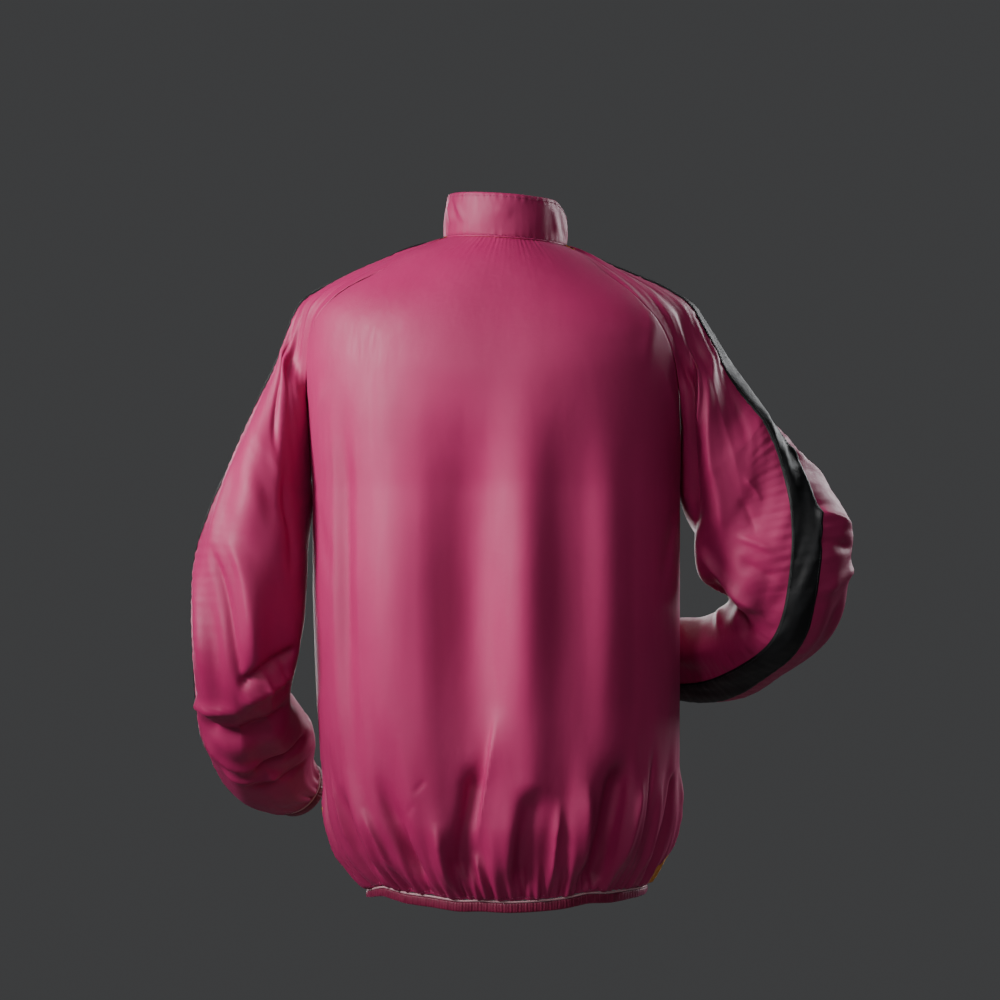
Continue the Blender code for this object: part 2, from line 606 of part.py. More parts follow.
def pulled_in(points, normals, faces, amount):
    """The patch's points with its border moved inward along the surface."""
    moved, push = points.copy(), {}
    for start, end in edges_of(faces):
        for vertex in (start, end):
            inward = unit(np.cross(normals[vertex], points[end] - points[start]))
            push.setdefault(vertex, []).append(inward)
    for vertex, sides in push.items():
        total = np.sum(sides, 0)
        scale = 1 + (float(sides[0] @ sides[1]) if len(sides) == 2 else 0.5)
        moved[vertex] += total * amount / max(scale, 0.4)
    return moved


def wall(points, normals, faces, thickness):
    """Points and faces of a closed wall that lies behind a patch."""
    names = sorted({vertex for face in faces for vertex in face})
    place = {vertex: i for i, vertex in enumerate(names)}
    count = len(names)
    outer = points[names]
    inner = outer - normals[names] * thickness
    solid = [tuple(place[v] for v in face) for face in faces]
    solid += [tuple(place[v] + count for v in face[::-1]) for face in faces]
    for start, end in edges_of(faces):
        u, v = place[start], place[end]
        solid.append((v, u, u + count, v + count))
    return np.concatenate([outer, inner]), solid


def make_object(name, points, faces, material):
    """One closed object with its faces pointing out, in triangles."""
    bm = bmesh.new()
    vertices = [bm.verts.new(point) for point in np.asarray(points, float).tolist()]
    for face in faces:
        bm.faces.new([vertices[i] for i in face])
    bmesh.ops.triangulate(bm, faces=bm.faces[:], quad_method="SHORT_EDGE")
    if bm.calc_volume(signed=True) < 0:
        bmesh.ops.reverse_faces(bm, faces=bm.faces[:])
    mesh = bpy.data.meshes.new(name)
    bm.to_mesh(mesh)
    bm.free()
    mesh.shade_smooth()
    mesh.set_sharp_from_angle(angle=math.radians(50))
    mesh.materials.append(material)
    thing = bpy.data.objects.new(name, mesh)
    bpy.context.scene.collection.objects.link(thing)
    return thing


def make_panel(name, skin, material, thickness=CLOTH, seam=SEAM):
    faces = skin.panels[name]
    normals = skin.shared_normals(name)
    points = pulled_in(np.array(skin.points), normals, faces, seam)
    return make_object(name, *wall(points, normals, faces, thickness), material)


def make_loop(name, sections, material, closed=True):
    """A solid swept through sections that all have the same number of corners."""
    sections = np.asarray(sections, float)
    count, corners = sections.shape[:2]
    faces = []
    for i in range(count if closed else count - 1):
        a, b = i * corners, (i + 1) % count * corners
        for k in range(corners):
            n = (k + 1) % corners
            faces.append((a + k, a + n, b + n, b + k))
    if not closed:
        last = (count - 1) * corners
        faces += [tuple(range(corners))[::-1], tuple(range(last, last + corners))]
    return make_object(name, sections.reshape(-1, 3), faces, material)


def plain_material(name, colour, roughness, metallic=0.0):
    material = bpy.data.materials.new(name)
    material.use_nodes = True
    shader = material.node_tree.nodes["Principled BSDF"]
    shader.inputs["Base Color"].default_value = (*colour, 1)
    shader.inputs["Roughness"].default_value = roughness
    shader.inputs["Metallic"].default_value = metallic
    return material


# ---- Panels of the body ------------------------------------------------------------------------------
# Rows of the lower body: place between armpit and hem, and how many times the upper columns it has.
LOWER_ROWS = [
    dict(share=0.00, split=1),
    dict(share=0.10, split=1),
    dict(share=0.20, split=1),
    dict(share=0.30, split=1),
    dict(share=0.40, split=1),
    dict(share=0.50, split=2),
    dict(share=0.59, split=2),
    dict(share=0.67, split=2),
    dict(share=0.74, split=2),
    dict(share=HEM_PANEL_SHARE, split=2),
    dict(share=0.86, split=2),
    dict(share=0.91, split=4),
    dict(share=0.955, split=4),
    dict(share=1.00, split=4),
]
PANEL_COLUMNS = {"back": BACK_COLUMNS, "left": FRONT_COLUMNS, "right": FRONT_COLUMNS}
# Each panel's solid above and below a row of LOWER_ROWS. The back is one piece of cloth, divided into
# two simpler solids at the armpits; the fronts have real seams over their mustard lower parts.
PANEL_NODES = {
    "back": dict(upper="back", lower="lower_back", share=0.0),
    "left": dict(upper="front_left", lower="front_hem_left", share=HEM_PANEL_SHARE),
    "right": dict(upper="front_right", lower="front_hem_right", share=HEM_PANEL_SHARE),
}


def row_angles(panel, level, split):
    start, end = panel_edges(panel, level)
    return np.linspace(start, end, PANEL_COLUMNS[panel] * split + 1)


def gathered(points, normals, level, start):
    """The hem edge's points, every other one let down into a gather."""
    strength = ease((level - GATHER_TOP) / (2 - GATHER_TOP))
    signs = np.where((np.arange(len(points)) + start) % 2, -1.0, 1.0)
    signs[[0, -1]] = 0
    return points + normals * (signs * GATHER_DEPTH * strength)[:, None]


def outward(angle, level):
    """The body's outward direction at its hem, kept level."""
    across = body_base(angle + 1, level) - body_base(angle - 1, level)
    across[:, 2] = 0
    return unit(np.cross(across, [0, 0, 1]))


def body_skin():
    skin = Skin()
    for panel, nodes in PANEL_NODES.items():
        above = None
        for i in range(YOKE_ROWS):
            level = i / YOKE_ROWS
            row = skin.row(body_point(row_angles(panel, level, 1), np.full(PANEL_COLUMNS[panel] + 1, level)))
            if above is not None:
                skin.strip(nodes["upper"], above, row)
            above = row
        for entry in LOWER_ROWS:
            level = 1 + entry["share"]
            angles = row_angles(panel, level, entry["split"])
            points = body_point(angles, np.full(len(angles), level))
            if level > GATHER_TOP:
                points = gathered(points, outward(angles, np.full(len(angles), level)), level, 0)
            row = skin.row(points)
            skin.strip(nodes["lower" if entry["share"] > nodes["share"] else "upper"], above, row)
            above = row
    return skin


# ---- Sleeves: cloth, band and cuffs --------------------------------------------------------------------
def seam_end(side, face):
    """Which end of a body panel's row lies on a sleeve's seam."""
    return 0 if (side == "left") == (face == "back") else -1


# A sleeve is one piece of cloth, but it is divided into simpler solids, each down to this row. The
# shoulder part takes in the first closed row under the armpit, and the right forearm bends most.
SLEEVE_PARTS = {
    "left": {
        "sleeve_left": YOKE_ROWS + 1,
        "upper_arm_left": YOKE_ROWS + 8,
        "forearm_left": YOKE_ROWS + ARM_ROWS,
    },
    "right": {
        "sleeve_right": YOKE_ROWS + 1,
        "upper_arm_right": YOKE_ROWS + 7,
        "forearm_right": YOKE_ROWS + 10,
        "wrist_right": YOKE_ROWS + ARM_ROWS,
    },
}


def add_sleeve(skin, side):
    columns = np.arange(SLEEVE_COLUMNS + 1.0)
    shares = 1 - np.arange(YOKE_ROWS) / YOKE_ROWS
    grid = sleeve_grid(side, columns, shares, np.linspace(0, 1, ARM_ROWS + 1) ** 1.15)
    for row, share in enumerate([*shares, 0.0]):
        for end, panel in ((0, "back"), (-1, side)):
            seam = row_angles(panel, 1 - share, 1)[seam_end(side, "back" if end == 0 else "front")]
            grid[row, end] = body_point(seam, 1 - share)
    grid[YOKE_ROWS:, -1] = grid[YOKE_ROWS:, 0]
    rows = [skin.row(points) for points in grid]
    start = 0
    for node, end in SLEEVE_PARTS[side].items():
        for upper, lower in zip(rows[start:end], rows[start + 1 : end + 1]):
            skin.strip(node, upper, lower, flip=side == "left")
        start = end
    return rows


def make_band(skin, side, rows, material):
    """The band sewn down the sleeve, made from the sleeve's own points moved out."""
    normals = skin.normals([face for node in SLEEVE_PARTS[side] for face in skin.panels[node]])
    whole = np.array(skin.points)
    names = np.array(rows)[:, BAND_START : BAND_END + 1]
    points, lift = whole[names], normals[names]
    along = unit(np.gradient(points, axis=0))
    points[0] += along[0] * SEAM * 4
    points[-1] -= along[-1] * SEAM * 4
    low, high = points + lift * CLEAR, points + lift * (CLEAR + BAND)
    height, width = names.shape
    number = np.arange(height * width).reshape(height, width)
    faces = []
    for i in range(height - 1):
        for j in range(width - 1):
            face = (number[i, j], number[i + 1, j], number[i + 1, j + 1], number[i, j + 1])
            faces.append(tuple(int(v) for v in (face[::-1] if side == "left" else face)))
    count = height * width
    solid = faces + [tuple(v + count for v in face[::-1]) for face in faces]
    solid += [(v, u, u + count, v + count) for u, v in edges_of(faces)]
    name = "sleeve_tape_" + side
    return make_object(name, np.concatenate([high.reshape(-1, 3), low.reshape(-1, 3)]), solid, material)


def edge_sections(path, away, outward_axis, start, height, thickness, outside):
    """Sections of an edging: it starts this far past a path and lies this far outside it."""
    top = path + away * start + outward_axis * outside
    foot = top + away * np.broadcast_to(height, len(path))[:, None]
    return np.stack([top, foot, foot - outward_axis * thickness, top - outward_axis * thickness], 1)


def make_edging(name, path, away, outward_axis, start, height, thickness, outside, material):
    sections = edge_sections(path, away, outward_axis, start, height, thickness, outside)
    return make_loop(name, sections, material)


def make_cuff(side, plum, pale):
    columns = np.linspace(0, SLEEVE_COLUMNS, 2 * SLEEVE_COLUMNS + 1)[:-1]
    path = arm_grid(side, columns, [1.0])[0]
    middle = path.mean(0)
    axis = sleeve_frames(side)[3][-1]
    ray = path - middle
    ray = unit(ray - np.outer(ray @ axis, axis))
    away = np.broadcast_to(axis, path.shape)
    gap = SEAM + CLEAR
    make_edging("cuff_piping_" + side, path, away, ray, gap, PIPING_HEIGHT, 0.0020, 0.0003, pale)
    start = gap + PIPING_HEIGHT + CLEAR
    make_edging("cuff_binding_" + side, path, away, ray, start, CUFF_BINDING, BINDING_WALL, 0.0006, plum)


# ---- Hem, collar and zip -----------------------------------------------------------------------------------
def make_hem(plum, pale):
    """Piping and binding all round the hem, from one edge of the zip to the other."""
    angles = np.concatenate([row_angles(p, 2, 4)[(p != "left"):] for p in ("left", "back", "right")])
    level = np.full(len(angles), 2.0)
    path = body_point(angles, level)
    ray = outward(angles, level)
    away = np.broadcast_to([0.0, 0.0, -1.0], path.shape)
    along = unit(np.cross([0, 0, 1.0], ray))
    path[0] += along[0] * SEAM
    path[-1] -= along[-1] * SEAM
    gap = SEAM + CLEAR
    piping = edge_sections(path, away, ray, gap, PIPING_HEIGHT, 0.0020, 0.0003)
    make_loop("hem_piping", piping, pale, closed=False)
    start = gap + PIPING_HEIGHT + CLEAR
    height = BINDING_HEIGHT * (1 - BINDING_ROLL * turn(angles)[0] ** 8)
    binding = edge_sections(path, away, ray, start, height, BINDING_WALL, 0.0006)
    make_loop("hem_binding", binding, plum, closed=False)


COLLAR_ROWS = 4
COLLAR_COLUMNS = 52


def collar_point(angle, share):
    """The collar's outside: share 0 at the seam, 1 at its top edge."""
    angle, share = np.broadcast_arrays(np.asarray(angle, float), np.asarray(share, float))
    base = neck_point(angle)
    sine, cosine = turn(angle)
    front = np.maximum(cosine, 0)
    height = COLLAR_BACK + (COLLAR_FRONT - COLLAR_BACK) * front
    slump = 0.016 * bump((angle - 272) / 34)
    lean = 0.0045 * share * (1 - 1.1 * bump((angle - 272) / 40)) - 0.0015 * np.sin(np.pi * share)
    ray = np.stack([sine, -cosine, 0 * sine], -1)
    point = base - ray * lean[..., None]
    point[..., 2] += (height - slump) * share
    point[..., 1] += front**2 * share * 0.010
    return point


def collar_angles():
    edge = float(zip_angle(0.0))
    return np.linspace(edge, 360 - edge, COLLAR_COLUMNS + 1)


def make_collar(plum):
    angles = collar_angles()
    skin = Skin()
    above = None
    for share in np.linspace(1, 0, COLLAR_ROWS + 1):
        row = skin.row(collar_point(angles, share))
        if above is not None:
            skin.strip("collar", above, row)
        above = row
    for index in above:
        skin.points[index] = skin.points[index] + np.array([0, 0, 2 * CLEAR])
    return make_panel("collar", skin, plum, thickness=COLLAR_WALL)


def zip_line():
    """Middle points of the zip, from the collar's top edge down to the hem binding's foot."""
    top = collar_point(np.zeros(4), np.array([1.0, 0.7, 0.35, 0.0]))
    levels = np.concatenate([np.arange(1, YOKE_ROWS) / YOKE_ROWS, [1 + row["share"] for row in LOWER_ROWS]])
    body = body_base(np.zeros(len(levels)), levels)
    foot = body[-1] - [0, 0, SEAM + 2 * CLEAR + PIPING_HEIGHT + BINDING_HEIGHT]
    return np.concatenate([top, body, foot[None]])


ZIP_TAPE_HALF = ZIP_HALF - 2 * CLEAR
ZIP_WALL = 0.0022


def make_zip(material):
    line = zip_line()
    along = unit(np.gradient(line, axis=0))
    front = unit(np.cross(along, [1.0, 0, 0]))
    front[front[:, 1] > 0] *= -1
    side = np.array([ZIP_TAPE_HALF, 0, 0])
    outer, inner = line + front * 0.0002, line - front * (ZIP_WALL - 0.0002)
    sections = np.stack([outer + side, outer - side, inner - side, inner + side], 1)
    return make_loop("zip", sections, material, closed=False)


# ---- The slider and its pull: across the zip, down it and out from it -------------------------------
SLIDER_SHARE = 0.80  # its place up the collar: the zip is closed
PLATE_HALF = 0.0040
PLATE_LENGTH = 0.0100
PLATE_WALL = 0.0018
ARCH_HALF = 0.0011
ARCH_REACH = 0.0040
ARCH_TOP = 0.0060
ARCH_WALL = 0.0012
PIVOT_OUT = 0.0035
PULL_HALF = 0.0027
PULL_EYE_HALF = 0.0015
PULL_BAR = 0.0007  # half the height of the cross bar under the arch
PULL_EYE_END = 0.0058
PULL_LENGTH = 0.0250
PULL_WALL = 0.0012


def slider_frame():
    """The slider's place on the zip and its three axes."""
    above, place, below = collar_point(np.zeros(3), SLIDER_SHARE + np.array([0.05, 0, -0.05]))
    down = unit(below - above)
    out = unit(np.cross(down, [1.0, 0, 0]))
    out = out if out[1] < 0 else -out
    return place + out * 0.0002, np.array([1.0, 0, 0]), down, out


def placed(across, down, out):
    origin, side, along, front = slider_frame()
    return origin + side * across + along * down + front * out


def make_box(name, half, ends, heights, material):
    corners = [(-half, 0), (half, 0), (half, 1), (-half, 1)]
    sections = [[placed(x, end, heights[level]) for x, level in corners] for end in ends]
    return make_loop(name, sections, material, closed=False)


def make_slider(material):
    base = CLEAR
    plate = make_box(
        "zip_slider", PLATE_HALF, (-PLATE_LENGTH / 2, PLATE_LENGTH / 2), (base, base + PLATE_WALL), material
    )
    foot, inner = base + PLATE_WALL / 2, ARCH_REACH - ARCH_WALL
    profile = [
        (-ARCH_REACH, foot), (-ARCH_REACH, ARCH_TOP - ARCH_WALL), (-inner, ARCH_TOP), (inner, ARCH_TOP),
        (ARCH_REACH, ARCH_TOP - ARCH_WALL), (ARCH_REACH, foot), (inner, foot), (inner, ARCH_TOP - ARCH_WALL),
        (-inner, ARCH_TOP - ARCH_WALL), (-inner, foot),
    ]
    sections = [[placed(x, down, out) for down, out in profile] for x in (-ARCH_HALF, ARCH_HALF)]
    arch = make_loop("slider_arch", sections, material, closed=False)
    union = plate.modifiers.new("union", "BOOLEAN")
    union.operation = "UNION"
    union.object = arch
    arch.hide_render = True
    arch.display_type = "WIRE"
    return plate


def make_pull(material):
    """A flat tab with an eye, its cross bar under the slider's arch."""
    outline = [
        dict(across=PULL_HALF, down=-PULL_BAR),
        dict(across=PULL_HALF, down=PULL_EYE_END),
        dict(across=0.0022, down=0.0090),
        dict(across=0.0034, down=0.0140),
        dict(across=0.0034, down=PULL_LENGTH - 0.0015),
        dict(across=0.0022, down=PULL_LENGTH),
    ]
    flat = []

    def corner(across, down):
        flat.append(placed(across, down, PIVOT_OUT + PULL_WALL / 2))
        return len(flat) - 1

    right = [corner(row["across"], row["down"]) for row in outline]
    left = [corner(-row["across"], row["down"]) for row in outline]
    eye = [corner(x, y) for x, y in (
        (PULL_EYE_HALF, PULL_BAR), (PULL_EYE_HALF, PULL_EYE_END - 0.001),
        (-PULL_EYE_HALF, PULL_EYE_END - 0.001), (-PULL_EYE_HALF, PULL_BAR),
    )]
    faces = [
        (left[0], eye[3], eye[0], right[0]), (right[0], eye[0], eye[1], right[1]),
        (right[1], eye[1], eye[2], left[1]), (left[1], eye[2], eye[3], left[0]),
    ]
    for i in range(1, len(outline) - 1):
        faces.append((left[i], right[i], right[i + 1], left[i + 1])[::-1])
    points = np.array(flat)
    normals = np.broadcast_to(slider_frame()[3], points.shape)
    thing = make_object("zip_pull", *wall(points, normals, faces, PULL_WALL), material)
    pivot = placed(0, 0, PIVOT_OUT)
    thing.data.transform(Matrix.Translation(-Vector(pivot)))
    thing.location = pivot
    return thing


def main():
    for thing in list(bpy.data.objects):
        bpy.data.objects.remove(thing, do_unlink=True)
    plum = plain_material("plum_cloth", (0.30, 0.05, 0.11), 0.55)
    mustard = plain_material("mustard_cloth", (0.48, 0.19, 0.04), 0.6)
    dark = plain_material("plum_knit", (0.10, 0.006, 0.03), 0.8)
    black = plain_material("black_tape", (0.01, 0.012, 0.015), 0.7)
    pale = plain_material("pale_piping", (0.75, 0.55, 0.56), 0.7)
    metal = plain_material("zip_metal", (0.35, 0.34, 0.35), 0.35, 1.0)

    skin = body_skin()
    rows = {side: add_sleeve(skin, side) for side in SLEEVES}
    for name in skin.panels:
        make_panel(name, skin, mustard if name.startswith("front_hem") else plum)
    for side in SLEEVES:
        make_band(skin, side, rows[side], black)
        make_cuff(side, dark, pale)
    make_hem(dark, pale)
    make_collar(plum)
    make_zip(plum)
    make_slider(metal)
    make_pull(metal)


main()
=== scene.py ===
"""A windbreaker as worn, dressed over its frame: fine cloth, stitching, edgings, zip and light.

Metres, +Z up; the front faces -Y and the wearer's left is +X. The functions that give the body and the
sleeves their shape are those of the part's source, so the cloth lies on its solids.
"""

import math

import bmesh
import bpy
import numpy as np
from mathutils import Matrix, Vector


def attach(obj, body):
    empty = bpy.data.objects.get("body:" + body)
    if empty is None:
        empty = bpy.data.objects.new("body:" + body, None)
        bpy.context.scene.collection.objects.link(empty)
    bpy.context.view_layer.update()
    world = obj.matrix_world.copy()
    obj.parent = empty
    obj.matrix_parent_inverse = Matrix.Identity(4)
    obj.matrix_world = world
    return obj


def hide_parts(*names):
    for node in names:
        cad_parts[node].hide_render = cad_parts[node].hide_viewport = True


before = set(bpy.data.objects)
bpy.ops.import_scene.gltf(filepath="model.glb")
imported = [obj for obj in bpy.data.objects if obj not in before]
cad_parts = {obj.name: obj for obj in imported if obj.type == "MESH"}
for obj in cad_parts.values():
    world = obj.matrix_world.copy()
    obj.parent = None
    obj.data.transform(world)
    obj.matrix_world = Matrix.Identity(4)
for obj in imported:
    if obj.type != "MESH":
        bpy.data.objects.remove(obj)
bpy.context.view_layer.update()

# ---- Cloth and counts ----------------------------------------------------------------------------
CLOTH = 0.0012
SEAM = 0.00006  # each panel stops this far short of its seam line
CLEAR = 0.0003
BAND_COLUMNS = 4

# ---- Body ----------------------------------------------------------------------------------------
ARMPIT_Z = -0.262
HEM_Z = -0.694
BINDING_HEIGHT = 0.0100
BINDING_ROLL = 0.40  # the part of its height that rolls under at the sides
PIPING_HEIGHT = 0.0020
ZIP_HALF = 0.0045

# Level rings of the body: height, middle, half width, depth behind, depth in front, squareness.
BODY_RINGS = [
    dict(z=-0.262, x=0.010, half=0.198, back=0.146, front=0.142, square=0.030),
    dict(z=-0.354, x=0.010, half=0.198, back=0.150, front=0.146, square=0.030),
    dict(z=-0.483, x=0.008, half=0.1965, back=0.152, front=0.148, square=0.025),
    dict(z=-0.548, x=0.006, half=0.194, back=0.154, front=0.150, square=0.020),
    dict(z=-0.613, x=0.005, half=0.189, back=0.1515, front=0.150, square=0.015),
    dict(z=-0.656, x=0.003, half=0.178, back=0.141, front=0.145, square=0.010),
    dict(z=-0.678, x=0.001, half=0.165, back=0.132, front=0.136, square=0.005),
    dict(z=-0.694, x=-0.002, half=0.151, back=0.124, front=0.126, square=0.000),
]

# Height of the hem seam round the body.
HEM_LINE = [
    dict(at=0, z=-0.6970),
    dict(at=60, z=-0.6975),
    dict(at=90, z=-0.6975),
    dict(at=108, z=-0.6910),
    dict(at=121, z=-0.6865),
    dict(at=150, z=-0.6905),
    dict(at=170, z=-0.6935),
    dict(at=192, z=-0.6925),
    dict(at=215, z=-0.6872),
    dict(at=245, z=-0.6890),
    dict(at=268, z=-0.6905),
    dict(at=300, z=-0.6950),
    dict(at=360, z=-0.6970),
]

# Angle of the two side seams down the body; the share runs from the armpit to the hem.
SIDE_SEAMS = [
    dict(share=0.00, left=90, right=270),
    dict(share=0.70, left=90, right=270),
    dict(share=0.87, left=89, right=266),
    dict(share=1.00, left=85, right=252),
]

# ---- Neck and shoulders --------------------------------------------------------------------------
NECK_HALF = 0.066
NECK_BACK = 0.070
NECK_FRONT = 0.078
NECK_DROP = 0.065  # the collar seam is this much lower at the zip than at the back
NECK_TILT = 0.07
COLLAR_BACK = 0.0465
COLLAR_FRONT = 0.055

# How the body rises from the armpit level (share 0) to the collar seam (share 1), as parts of the
# way out from the neck and up to it, over the shoulder ridge, the back and the front.
YOKE_PROFILE = [
    dict(share=0.0, side_out=1.0, side_up=0.0, back_out=1.0, back_up=0.0, front_out=1.0, front_up=0.0),
    dict(share=0.2, side_out=1.03, side_up=0.27, back_out=1.01, back_up=0.215, front_out=0.98, front_up=0.21),
    dict(share=0.4, side_out=1.06, side_up=0.53, back_out=0.95, back_up=0.427, front_out=0.88, front_up=0.41),
    dict(share=0.5, side_out=1.04, side_up=0.67, back_out=0.87, back_up=0.53, front_out=0.77, front_up=0.51),
    dict(
        share=0.6, side_out=0.905, side_up=0.785, back_out=0.76, back_up=0.63, front_out=0.65, front_up=0.62
    ),
    dict(share=0.8, side_out=0.48, side_up=0.905, back_out=0.43, back_up=0.83, front_out=0.36, front_up=0.81),
    dict(
        share=0.9, side_out=0.24, side_up=0.96, back_out=0.235, back_up=0.92, front_out=0.19, front_up=0.905
    ),
    dict(share=1.0, side_out=0.0, side_up=1.0, back_out=0.0, back_up=1.0, front_out=0.0, front_up=1.0),
]

# Degrees by which the raglan seams leave the side of the body.
RAGLAN = [
    dict(share=0.0, back_left=0, back_right=0, front=0),
    dict(share=0.2, back_left=6, back_right=13, front=8),
    dict(share=0.4, back_left=13, back_right=23, front=16),
    dict(share=0.6, back_left=24, back_right=33, front=26),
    dict(share=0.8, back_left=29, back_right=34, front=31),
    dict(share=0.9, back_left=27, back_right=30, front=29),
    dict(share=1.0, back_left=23, back_right=24, front=26),
]

# ---- Sleeves -------------------------------------------------------------------------------------
BAND_WIDTH = 0.034
CUFF_BINDING = 0.010

# Rings of each sleeve: the middle, half width across the arm, half depth, roll of the wide axis,
# and the angles where the underarm seam and the band lie.
LEFT_SLEEVE = [
    dict(name="upper", x=0.272, y=0.006, z=-0.338, wide=0.060, deep=0.068, roll=8, under=0, band=198),
    dict(name="lower", x=0.277, y=0.010, z=-0.405, wide=0.060, deep=0.064, roll=0, under=0, band=200),
    dict(name="above", x=0.283, y=0.006, z=-0.462, wide=0.053, deep=0.060, roll=0, under=0, band=200),
    dict(name="elbow", x=0.282, y=-0.026, z=-0.508, wide=0.052, deep=0.052, roll=0, under=0, band=200),
    dict(name="forearm", x=0.273, y=-0.080, z=-0.540, wide=0.060, deep=0.048, roll=0, under=0, band=200),
    dict(name="wrist", x=0.260, y=-0.130, z=-0.586, wide=0.050, deep=0.045, roll=0, under=0, band=200),
    dict(name="cuff", x=0.240, y=-0.162, z=-0.604, wide=0.035, deep=0.031, roll=0, under=0, band=200),
]
RIGHT_SLEEVE = [
    dict(name="upper", x=-0.290, y=0.012, z=-0.316, wide=0.082, deep=0.056, roll=0, under=-25, band=112),
    dict(name="lower", x=-0.298, y=0.016, z=-0.362, wide=0.074, deep=0.052, roll=0, under=-50, band=104),
    dict(name="above", x=-0.299, y=0.008, z=-0.397, wide=0.058, deep=0.050, roll=0, under=-70, band=100),
    dict(name="elbow", x=-0.280, y=-0.018, z=-0.424, wide=0.049, deep=0.050, roll=0, under=-80, band=100),
    dict(name="forearm", x=-0.236, y=-0.078, z=-0.453, wide=0.050, deep=0.046, roll=0, under=-90, band=100),
    dict(name="wrist", x=-0.170, y=-0.142, z=-0.457, wide=0.046, deep=0.042, roll=0, under=-90, band=100),
    dict(name="cuff", x=-0.130, y=-0.176, z=-0.459, wide=0.036, deep=0.032, roll=0, under=-90, band=100),
]


# ---- Curves through tables -----------------------------------------------------------------------
def column(table, name):
    return np.array([row[name] for row in table], float)


def smooth(knots, values, at):
    """Values of a curve through the knots that never overshoots them."""
    knots, values = np.asarray(knots, float), np.asarray(values, float)
    order = np.argsort(knots)
    knots, values = knots[order], values[order]
    step, rise = np.diff(knots), np.diff(values)
    slope = rise / step
    bend = np.zeros(len(knots))
    same = slope[:-1] * slope[1:] > 0
    mean = np.zeros(len(slope) - 1)
    mean[same] = 2 * slope[:-1][same] * slope[1:][same] / (slope[:-1] + slope[1:])[same]
    bend[1:-1] = mean
    bend[0], bend[-1] = slope[0], slope[-1]
    at = np.clip(np.asarray(at, float), knots[0], knots[-1])
    i = np.clip(np.searchsorted(knots, at) - 1, 0, len(step) - 1)
    t = (at - knots[i]) / step[i]
    return (
        values[i] * (1 + 2 * t) * (1 - t) ** 2
        + values[i + 1] * t * t * (3 - 2 * t)
        + step[i] * (bend[i] * t * (1 - t) ** 2 + bend[i + 1] * t * t * (t - 1))
    )


def look_up(table, key, name, at):
    return smooth(column(table, key), column(table, name), at)


def spline(knots, points, at):
    """Points on a natural cubic spline, and its derivatives there."""
    n, h = len(knots), np.diff(knots)
    system, right = np.eye(n), np.zeros((n,) + points.shape[1:])
    for i in range(1, n - 1):
        system[i, i - 1 : i + 2] = h[i - 1], 2 * (h[i - 1] + h[i]), h[i]
        right[i] = 6 * ((points[i + 1] - points[i]) / h[i] - (points[i] - points[i - 1]) / h[i - 1])
    second = np.linalg.solve(system, right.reshape(n, -1)).reshape(points.shape)
    found, slopes = [], []
    for value in at:
        i = int(np.clip(np.searchsorted(knots, value) - 1, 0, n - 2))
        a, b = (knots[i + 1] - value) / h[i], (value - knots[i]) / h[i]
        found.append(
            a * points[i]
            + b * points[i + 1]
            + ((a**3 - a) * second[i] + (b**3 - b) * second[i + 1]) * h[i] ** 2 / 6
        )
        slopes.append(
            (points[i + 1] - points[i]) / h[i]
            + ((1 - 3 * a * a) * second[i] + (3 * b * b - 1) * second[i + 1]) * h[i] / 6
        )
    return np.array(found), np.array(slopes)


def run_length(points):
    """Distance of each point along a path from its first point."""
    return np.concatenate([[0], np.cumsum(np.linalg.norm(np.diff(points, axis=0), axis=-1))])


def unit(vectors):
    vectors = np.asarray(vectors, float)
    return vectors / np.maximum(np.linalg.norm(vectors, axis=-1, keepdims=True), 1e-12)


# ---- The body as one surface: level 0 is the collar seam, 1 the armpits, 2 the hem seam ----------
def turn(angle):
    radians = np.radians(np.asarray(angle, float))
    return np.sin(radians), np.cos(radians)


def neck_point(angle):
    """A point of the collar seam."""
    sine, cosine = turn(angle)
    x = NECK_HALF * sine
    y = -np.where(cosine > 0, NECK_FRONT, NECK_BACK) * cosine
    z = NECK_TILT * x - NECK_DROP * np.maximum(cosine, 0) ** 1.5
    return np.stack([x, y, z], -1)


def body_ring(angle, z):
    """A point of the body at a height below the armpits."""
    sine, cosine = turn(angle)
    ring = {name: look_up(BODY_RINGS, "z", name, z) for name in ("x", "half", "back", "front", "square")}
    bulge = 1 + ring["square"] * (2 * sine * cosine) ** 2
    x = ring["x"] + ring["half"] * sine * bulge
    y = -np.where(cosine > 0, ring["front"], ring["back"]) * cosine * bulge
    return np.stack([x, y, np.broadcast_to(z, np.shape(x))], -1)


def body_base(angle, level):
    """The body without its folds, at angles and levels of the same shape."""
    angle, level = np.broadcast_arrays(np.asarray(angle, float), np.asarray(level, float))
    low = np.clip(level - 1, 0, 1)
    lower = body_ring(angle, ARMPIT_Z + (HEM_Z - ARMPIT_Z) * low)
    lower[..., 2] += low**3 * (look_up(HEM_LINE, "at", "z", angle % 360) - HEM_Z)
    share = np.clip(1 - level, 0, 1)
    sine, cosine = turn(angle)
    side = sine**2
    out, up = 0.0, 0.0
    weights = {"side": side, "back": (1 - side) * (cosine <= 0), "front": (1 - side) * (cosine > 0)}
    for face, weight in weights.items():
        out = out + weight * look_up(YOKE_PROFILE, "share", face + "_out", share)
        up = up + weight * look_up(YOKE_PROFILE, "share", face + "_up", share)
    neck, pit = neck_point(angle), body_ring(angle, ARMPIT_Z)
    mix = np.stack([out, out, 1 - up], -1)
    upper = neck + (pit - neck) * mix
    return np.where((level > 1)[..., None], lower, upper)


def raglan_angle(side, face, share):
    """Angle of a raglan seam; side is left or right, face is back or front."""
    if face == "front":
        lean = -look_up(RAGLAN, "share", "front", share)
    else:
        lean = look_up(RAGLAN, "share", "back_" + side, share)
    return 90 + lean if side == "left" else 270 - lean


